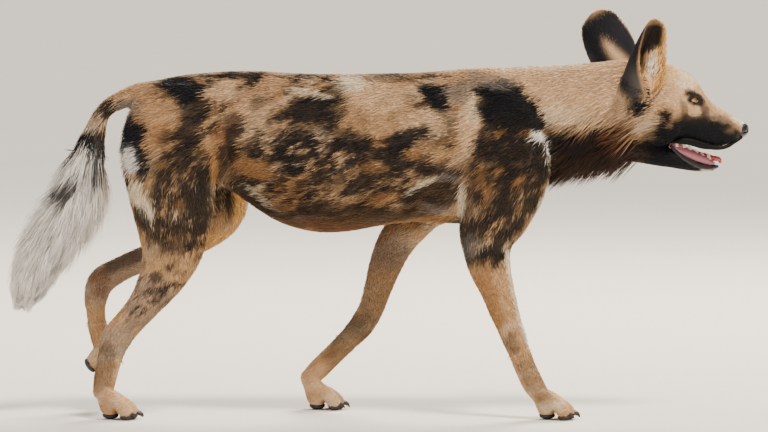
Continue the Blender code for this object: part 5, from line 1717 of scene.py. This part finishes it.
def nose_piece():
    """The nose pad: an ellipsoid dented by two nostrils, their slits and a middle groove."""
    mesh = ball((0, 0, 0), (0.0162, 0.0182, 0.0145), None, 120, 90)
    p = points_of(mesh)
    dent = np.zeros(len(p))
    for side in (-1, 1):
        hole, slit = (0.0122, side * 0.0082, -0.0012), (0.0085, side * 0.0150, -0.0042)
        dent += 0.0052 * np.exp(-in_radii(p, hole, (0.006, 0.0036, 0.0040)))
        dent += 0.0030 * np.exp(-in_radii(p, slit, (0.0075, 0.0040, 0.0016)))
    groove = 0.0016 * np.exp(-((p[:, 1] / 0.0009) ** 2)) * smooth_step(0.003, -0.003, p[:, 2])
    dent += groove * (p[:, 0] > 0)
    grain = noise(p, 0.0016, 41) * 0.00022
    p = p - unit(p) * (dent - grain)[:, None]
    set_points(mesh, p + np.array([0.6285, 0, 0.4970]))
    piece_from("nose_pad", turned_mesh(mesh), NOSE_SKIN)


def tongue_piece():
    """The tongue: a flattened bar with a groove along its middle and a curled tip."""
    mesh = tube(TONGUE, 48, 10)
    p, n = points_of(mesh), normals_of(mesh)
    groove = 0.0012 * np.exp(-((p[:, 1] / 0.0022) ** 2)) * smooth_step(0.2, 0.8, n[:, 2])
    p -= n * groove[:, None]
    p += n * (noise(p, 0.0012, 51) * 0.00012)[:, None]
    piece_from("tongue_skin", turned_mesh(set_points(mesh, p)), TONGUE_SKIN)


def cone(x, y, z, lean, height, thick, shares):
    """One point of a tooth: ellipses that lean and narrow by rows of shares."""
    rows = [(x + lean * s, y, z + height * u, thick * a, thick * b) for s, u, a, b in shares]
    return tube(rows, 12, 4)


def tooth(x, y, z, height, thick, lean=0.0, cusps=False):
    """A tooth's own point, with a lower one before and behind it on cheek teeth."""
    points = [cone(x, y, z, lean, height, thick, CROWN)]
    if cusps:
        points += [cone(x, y, z, way * thick, height, thick, CUSP) for way in (-1, 1)]
    return points


def teeth_piece():
    """All teeth: cheek teeth with cusps, canines and incisors, above and below."""
    teeth = []
    for side in (-1, 1):
        teeth += tooth(0.5720, side * 0.0135, 0.4420, 0.0150, 0.0044, -0.0025)
        teeth += tooth(0.5985, side * 0.0165, 0.4775, -0.0140, 0.0044, -0.0025)
        for i, size in enumerate(CHEEK_SIZES):
            x, y, z = 0.510 + 0.0118 * i, side * (0.0292 - 0.0026 * i), 0.4728 - 0.0051 * i
            teeth += tooth(x, y, z, 0.0076 * size, 0.0052 * size**0.5, cusps=True)
            x, y = 0.532 + 0.0125 * i, side * (0.0270 - 0.0020 * i)
            teeth += tooth(x, y, 0.4800, -0.0055 * size, 0.0046 * size**0.5, cusps=True)
    for off in np.arange(6) - 2.5:
        teeth += tooth(0.5800 - 0.0006 * abs(off), off * 0.0031, 0.4365, 0.0055, 0.0018)
        teeth += tooth(0.6125 - 0.0008 * abs(off), off * 0.0038, 0.4790, -0.0055, 0.0021)
    piece_from("teeth", turned_mesh(together(teeth)), TOOTH_ENAMEL)


def mirrored(path):
    """A path from the right mouth corner round the front to the left one."""
    rows = np.array(path, float)
    back = rows[::-1][1:] * np.array([1, -1, 1, 1, 1])
    return np.vstack([rows, back])


def rim_path(path):
    """Bars along a curve that turns in plan: rings square to it, from its own frame."""
    rows = spline(mirrored(path), 5)
    centre, a, b = rows[:, :3], rows[:, 3], rows[:, 4]
    along = unit(np.gradient(centre, axis=0))
    up = unit(np.array([0, 0, 1.0]) - along * along[:, 2:3])
    side = np.cross(along, up)
    t = np.linspace(0, 2 * math.pi, 16, endpoint=False)[None, :, None]
    rise = up[:, None] * np.cos(t) * a[:, None, None]
    mesh = loft(centre[:, None] + rise + side[:, None] * np.sin(t) * b[:, None, None])
    p, n = points_of(mesh), normals_of(mesh)
    return set_points(mesh, p + n * (noise(p, 0.004, 61) * 0.0004)[:, None])


def whiskers(draw):
    """Stiff dark hairs in three rows on each side of the muzzle."""
    rows = np.array([(0.612 - 0.009 * k, side * (0.0255 + 0.0016 * k), 0.497 - 0.0065 * r, side)
                     for side in (-1, 1) for r in range(3) for k in range(4)])
    count = len(rows)
    roots = rows[:, :3].copy()
    normals = np.stack([np.zeros(count), rows[:, 3], np.zeros(count)], axis=1)
    down = draw.uniform(-0.28, -0.05, count)
    ways = unit(np.stack([np.full(count, -0.80), rows[:, 3] * 0.45, down], axis=1))
    length = draw.uniform(0.014, 0.026, count)
    lines = lines_over(roots, normals, ways, length, np.full(count, 0.0005), 5, 0.10)
    lines[:, 0] -= normals * 0.004
    lines = turned(lines.reshape(-1, 3)).reshape(lines.shape)
    colours = np.ones((count, 3)) * TONES["black"]
    places = np.stack([0.1 + 0.8 * np.arange(count) / count, np.full(count, 0.99)], axis=1)
    width = np.full(count, 0.0004)
    hair_piece("whiskers", lines, normals, width, width * 0.8, colours, places, GUARD_HAIR, 1.0)


# ---------------------------------------------------------------- materials


def node(tree, kind, settings=None, links=None):
    """Adds one node with its settings and links: {input: value} or {input: (node, output)}."""
    made = tree.nodes.new(kind)
    for key, value in (settings or {}).items():
        setattr(made, key, value)
    for key, value in (links or {}).items():
        if isinstance(value, tuple) and hasattr(value[0], "outputs"):
            tree.links.new(value[0].outputs[value[1]], made.inputs[key])
        else:
            made.inputs[key].default_value = value
    return made


def finish(name, colour, roughness, pattern_mm, bump_mm, stretch=(1, 1, 1), vary=0.15, **extra):
    """A surface whose colour, roughness and relief vary with one pattern in Object space.

    colour is a hex value, or None for the piece's own tone attribute. The pattern is
    noise with features pattern_mm apart; relief is bump_mm high.
    """
    made = bpy.data.materials.new(name)
    made.use_nodes = True
    tree = made.node_tree
    tree.nodes.clear()
    place = node(tree, "ShaderNodeTexCoord")
    scaled = node(tree, "ShaderNodeMapping", {}, {"Vector": (place, "Object"), "Scale": stretch})
    grain = node(tree, "ShaderNodeTexNoise", {}, {
        "Vector": (scaled, "Vector"), "Scale": 1000 / pattern_mm, "Detail": 3.0, "Roughness": 0.55})
    if colour is None:
        own = node(tree, "ShaderNodeAttribute", {"attribute_name": "tone"})
        source = (own, "Color")
    else:
        flat = node(tree, "ShaderNodeRGB")
        flat.outputs[0].default_value = (*linear(colour), 1)
        source = (flat, "Color")
    spread = {"Value": (grain, "Fac"), "From Min": 0.25, "From Max": 0.75}
    level = node(tree, "ShaderNodeMapRange", {}, {
        **spread, "To Min": 1 - vary, "To Max": 1 + vary})
    tinted = node(tree, "ShaderNodeVectorMath", {"operation": "SCALE"}, {
        0: source, "Scale": (level, "Result")})
    rough = node(tree, "ShaderNodeMapRange", {}, {
        **spread, "To Min": roughness * 0.88, "To Max": min(roughness * 1.12, 1.0)})
    relief_node = node(tree, "ShaderNodeBump", {}, {
        "Height": (grain, "Fac"), "Distance": bump_mm / 1000, "Strength": 1.0})
    shader = node(tree, "ShaderNodeBsdfPrincipled", {}, {
        "Base Color": (tinted, "Vector"), "Roughness": (rough, "Result"),
        "Normal": (relief_node, "Normal"), **extra})
    node(tree, "ShaderNodeOutputMaterial", {}, {"Surface": (shader, "BSDF")})
    return made


# Guard hair: coarse keratin, dull with a faint sheen along the coat; its pattern is 6 mm flecks
GUARD_HAIR = finish("guard_hair", None, 0.62, 6.0, 0.05, vary=0.12, **{
    "Sheen Weight": 0.03, "Sheen Roughness": 0.4, "Specular IOR Level": 0.22})
# Tail hair: longer and softer, so it scatters more and looks silky
TAIL_HAIR = finish("tail_hair", None, 0.55, 5.0, 0.03, vary=0.06, **{
    "Sheen Weight": 0.25, "Sheen Roughness": 0.35, "Specular IOR Level": 0.35})
# Skin under the coat: short underfur, drawn as fine streaks along the body, 1.5 mm apart
SKIN_COAT = finish("underfur_on_skin", None, 0.78, 1.5, 0.5, (0.25, 1, 1), 0.25, **{
    "Specular IOR Level": 0.2})
# Nose pad: moist leathery skin with pebbles about 1.2 mm across
NOSE_SKIN = finish("moist_nose_skin", "#100F11", 0.34, 1.2, 0.25, vary=0.25, **{
    "Coat Weight": 0.12, "Coat Roughness": 0.3})
# Lips and lid edges: bare black skin, wet, so it takes narrow highlights
LIP_SKIN = finish("wet_black_lip", "#090809", 0.60, 2.5, 0.3, vary=0.2, **{
    "Specular IOR Level": 0.16, "Coat Weight": 0.02, "Coat Roughness": 0.3})
# Inner edge of the lower lid: bare pinkish skin, always wet, so it draws a bright line; its pale
# colour is partly a painted highlight
LID_SKIN_AND_HIGHLIGHT = finish("wet_lid_edge_and_highlight", "#B79A8C", 0.25, 1.0, 0.05, vary=0.1, **{
    "Coat Weight": 0.6, "Coat Roughness": 0.1})
# Inner edge of the lower lip: bare skin, purple-grey and wet
LOWER_LIP_SKIN = finish("wet_grey_lip", "#1E171B", 0.40, 3.0, 0.25, vary=0.35, **{
    "Specular IOR Level": 0.3, "Coat Weight": 0.22, "Coat Roughness": 0.18})
# Gums and palate: wet pink skin, a little translucent
GUM_SKIN = finish("wet_pink_gum", "#9A5663", 0.34, 2.6, 0.2, vary=0.3, **{
    "Subsurface Weight": 0.15, "Subsurface Scale": 0.002,
    "Coat Weight": 0.6, "Coat Roughness": 0.12})
# Tongue: wet red muscle with fine papillae under a millimetre
TONGUE_SKIN = finish("wet_tongue", "#BC3F3E", 0.34, 0.9, 0.12, vary=0.12, **{
    "Subsurface Weight": 0.25, "Subsurface Scale": 0.002,
    "Coat Weight": 0.7, "Coat Roughness": 0.15})
# Teeth: enamel, cream and smooth
TOOTH_ENAMEL = finish("tooth_enamel", "#E6DCC0", 0.24, 3.0, 0.03, vary=0.10, **{
    "Subsurface Weight": 0.1, "Subsurface Scale": 0.001, "Coat Weight": 0.4, "Coat Roughness": 0.1})
# Eye: a wet clear cornea over the painted iris
EYE_GLOSS = finish("wet_eye", None, 0.12, 1.0, 0.0, vary=0.05, **{
    "Coat Weight": 1.0, "Coat Roughness": 0.02})
# Claws: worn horn, dark with paler streaks along it
CLAW_HORN = finish("worn_claw_horn", "#2B231D", 0.42, 1.2, 0.08, vary=0.35)
# Pads: thick cornified skin with wart-like grain about 1.5 mm across
PAD_SKIN = finish("paw_pad_skin", "#2A2524", 0.7, 1.5, 0.4, vary=0.25)
# Studio floor: plain pale matt paint
FLOOR_PAINT = finish("matt_floor", "#D9D6D0", 0.9, 400.0, 0.0, vary=0.01)


# ---------------------------------------------------------------- putting it together


def unwrapped(mesh):
    """The mesh's own unwrap, kept in the layer that tufts take their places from."""
    helper = in_scene("unwrap", mesh)
    bpy.context.view_layer.objects.active = helper
    helper.select_set(True)
    mesh.uv_layers.new(name="unwrap")
    bpy.ops.object.mode_set(mode="EDIT")
    bpy.ops.mesh.select_all(action="SELECT")
    bpy.ops.uv.smart_project(angle_limit=math.radians(66), island_margin=0.002)
    bpy.ops.object.mode_set(mode="OBJECT")
    bpy.data.objects.remove(helper)
    return mesh


def inside_mouth(mesh):
    """Gives the faces of palate and trough the gum material, the second of the mesh."""
    straight = turned(read(mesh.polygons, "center").astype(float), -1.0)
    x, y, z = straight.T
    upper = within(straight, PALATE, np.array(PALATE_RADII) + (0.0012, 0.0008, 0.0008))
    bed = np.interp(x, [0.493, 0.535, 0.576], [0.462, 0.4555, 0.4465])
    lower = (np.abs(y) < 0.0205) & (x > 0.488) & (x < 0.574) & (np.abs(z - bed) < 0.0105)
    mesh.polygons.foreach_set("material_index", (upper | lower).astype(np.int32))


def dress():
    """Makes every piece of the dog, in the order of the random draws."""
    draw = np.random.default_rng(12)
    skin_mesh = unwrapped(whole_skin())
    # The skin is darkened as painted shade of the coat over it
    paint(skin_mesh, coat_colours(points_of(skin_mesh)) * SKIN_SHADE)
    skin = piece_from("skin", skin_mesh, SKIN_COAT, GUM_SKIN)
    inside_mouth(skin_mesh)
    short_coat(skin, draw)
    ruff(skin, draw)
    tail_brush(draw)
    for name in EARS:
        ear(name, draw)
    for side in (-1, 1):
        eye_piece(side)
        lid_rim(side)
        lid_line(side)
    nose_piece()
    tongue_piece()
    teeth_piece()
    whiskers(draw)
    rims = {"lower_lip": (LOWER_LIP, LOWER_LIP_SKIN), "upper_lip": (UPPER_LIP, LIP_SKIN),
            "lower_gum": (LOWER_GUM, GUM_SKIN), "upper_gum": (UPPER_GUM, GUM_SKIN)}
    for name, (path, material) in rims.items():
        piece_from(name, turned_mesh(rim_path(path)), material)
    cheeks = [tube([(x, side * y, z, a, b) for x, y, z, a, b in CHEEK], 20, 8) for side in (1, -1)]
    piece_from("cheek_lining", turned_mesh(together(cheeks)), GUM_SKIN)
    pads, claws = [], []
    for stations, yaw, tilt, stands in PAWS.values():
        flesh, pad, claw = paw_parts(stations, yaw, tilt, stands)
        pads += pad
        claws += claw
    piece_from("paw_pads", together(pads), PAD_SKIN)
    piece_from("claws", together(claws), CLAW_HORN)


PIECES = []
dress()
FLESH = ["head", "lower_jaw", "neck", "torso", "tail_dock"]
FLESH += [f"{side}_{part}" for side in ("right", "left")
          for part in ("upper_arm", "forearm", "fore_paw", "thigh", "shank", "hind_paw")]
STANDS_FOR = {
    "skin": FLESH, "tail_core": ["tail_brush"], "nose_pad": ["nose"], "tongue_skin": ["tongue"],
    "right_eyeball": ["right_eye"], "left_eyeball": ["left_eye"],
    "right_ear_wall": ["right_ear"], "left_ear_wall": ["left_ear"],
}

# The frame's box was centred over the origin; an eye tells by how much
EYE_LOW, EYE_HIGH = (np.array(corner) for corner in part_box("right_eye"))
SHIFT = (EYE_LOW + EYE_HIGH) / 2 - turned(eye_frame(-1)[0][None])[0]
SHIFT[2] = 0
for piece in PIECES:
    piece.data.transform(Matrix.Translation(SHIFT.tolist()))
    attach(piece, "root")
    if piece.name in STANDS_FOR:
        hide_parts(*STANDS_FOR[piece.name])


# ---------------------------------------------------------------- studio


def lamp(name, kind, place, aim, power, colour, **settings):
    """A light of one kind at a place, aimed at a point, with the settings of its kind."""
    data = bpy.data.lights.new(name, kind)
    data.energy, data.color = power, linear(colour)
    for key, value in settings.items():
        setattr(data, key, value)
    made = in_scene(name, data)
    made.location = place
    made.rotation_euler = (Vector(aim) - Vector(place)).to_track_quat("-Z", "Y").to_euler()


GROUND = bpy.data.meshes.new("floor")
GROUND.from_pydata([(x * FLOOR, y * FLOOR, 0) for x, y in ((-1, -1), (1, -1), (1, 1), (-1, 1))],
                   [], [(0, 1, 2, 3)])
GROUND.materials.append(FLOOR_PAINT)
in_scene("studio_floor", GROUND)

# A soft sun from above the front right, a cool fill, and a light for the edge of the back
lamp("key", "SUN", (1.3, -1.7, 3.9), (0, 0, 0), 5.3, "#FFF1DE", angle=math.radians(14))
lamp("fill", "AREA", (-3.2, -3.8, 1.8), (0, 0, 0.35), 60, "#F2F5FF", shape="SQUARE", size=3.0)
lamp("back", "AREA", (1.2, 2.6, 3.2), (0, 0, 0.35), 380, "#FFF3E0", shape="SQUARE", size=1.8)
WORLD = bpy.data.worlds.new("studio")
WORLD.use_nodes = True
SKY = WORLD.node_tree.nodes["Background"].inputs
SKY["Color"].default_value = (*linear("#DCE0E6"), 1)
SKY["Strength"].default_value = 0.50
bpy.context.scene.world = WORLD

CAMERA = in_scene("camera", bpy.data.cameras.new("camera"))
CAMERA.data.sensor_width = SENSOR
CAMERA.data.lens = CAMERA_DISTANCE * SENSOR / FRAME_WIDTH
RISE = math.radians(CAMERA_RISE)
BACK = Vector((0, -math.cos(RISE), math.sin(RISE)))
CAMERA.location = Vector(CAMERA_AIM) + BACK * CAMERA_DISTANCE
CAMERA.rotation_euler = (-BACK).to_track_quat("-Z", "Y").to_euler()
bpy.context.scene.camera = CAMERA
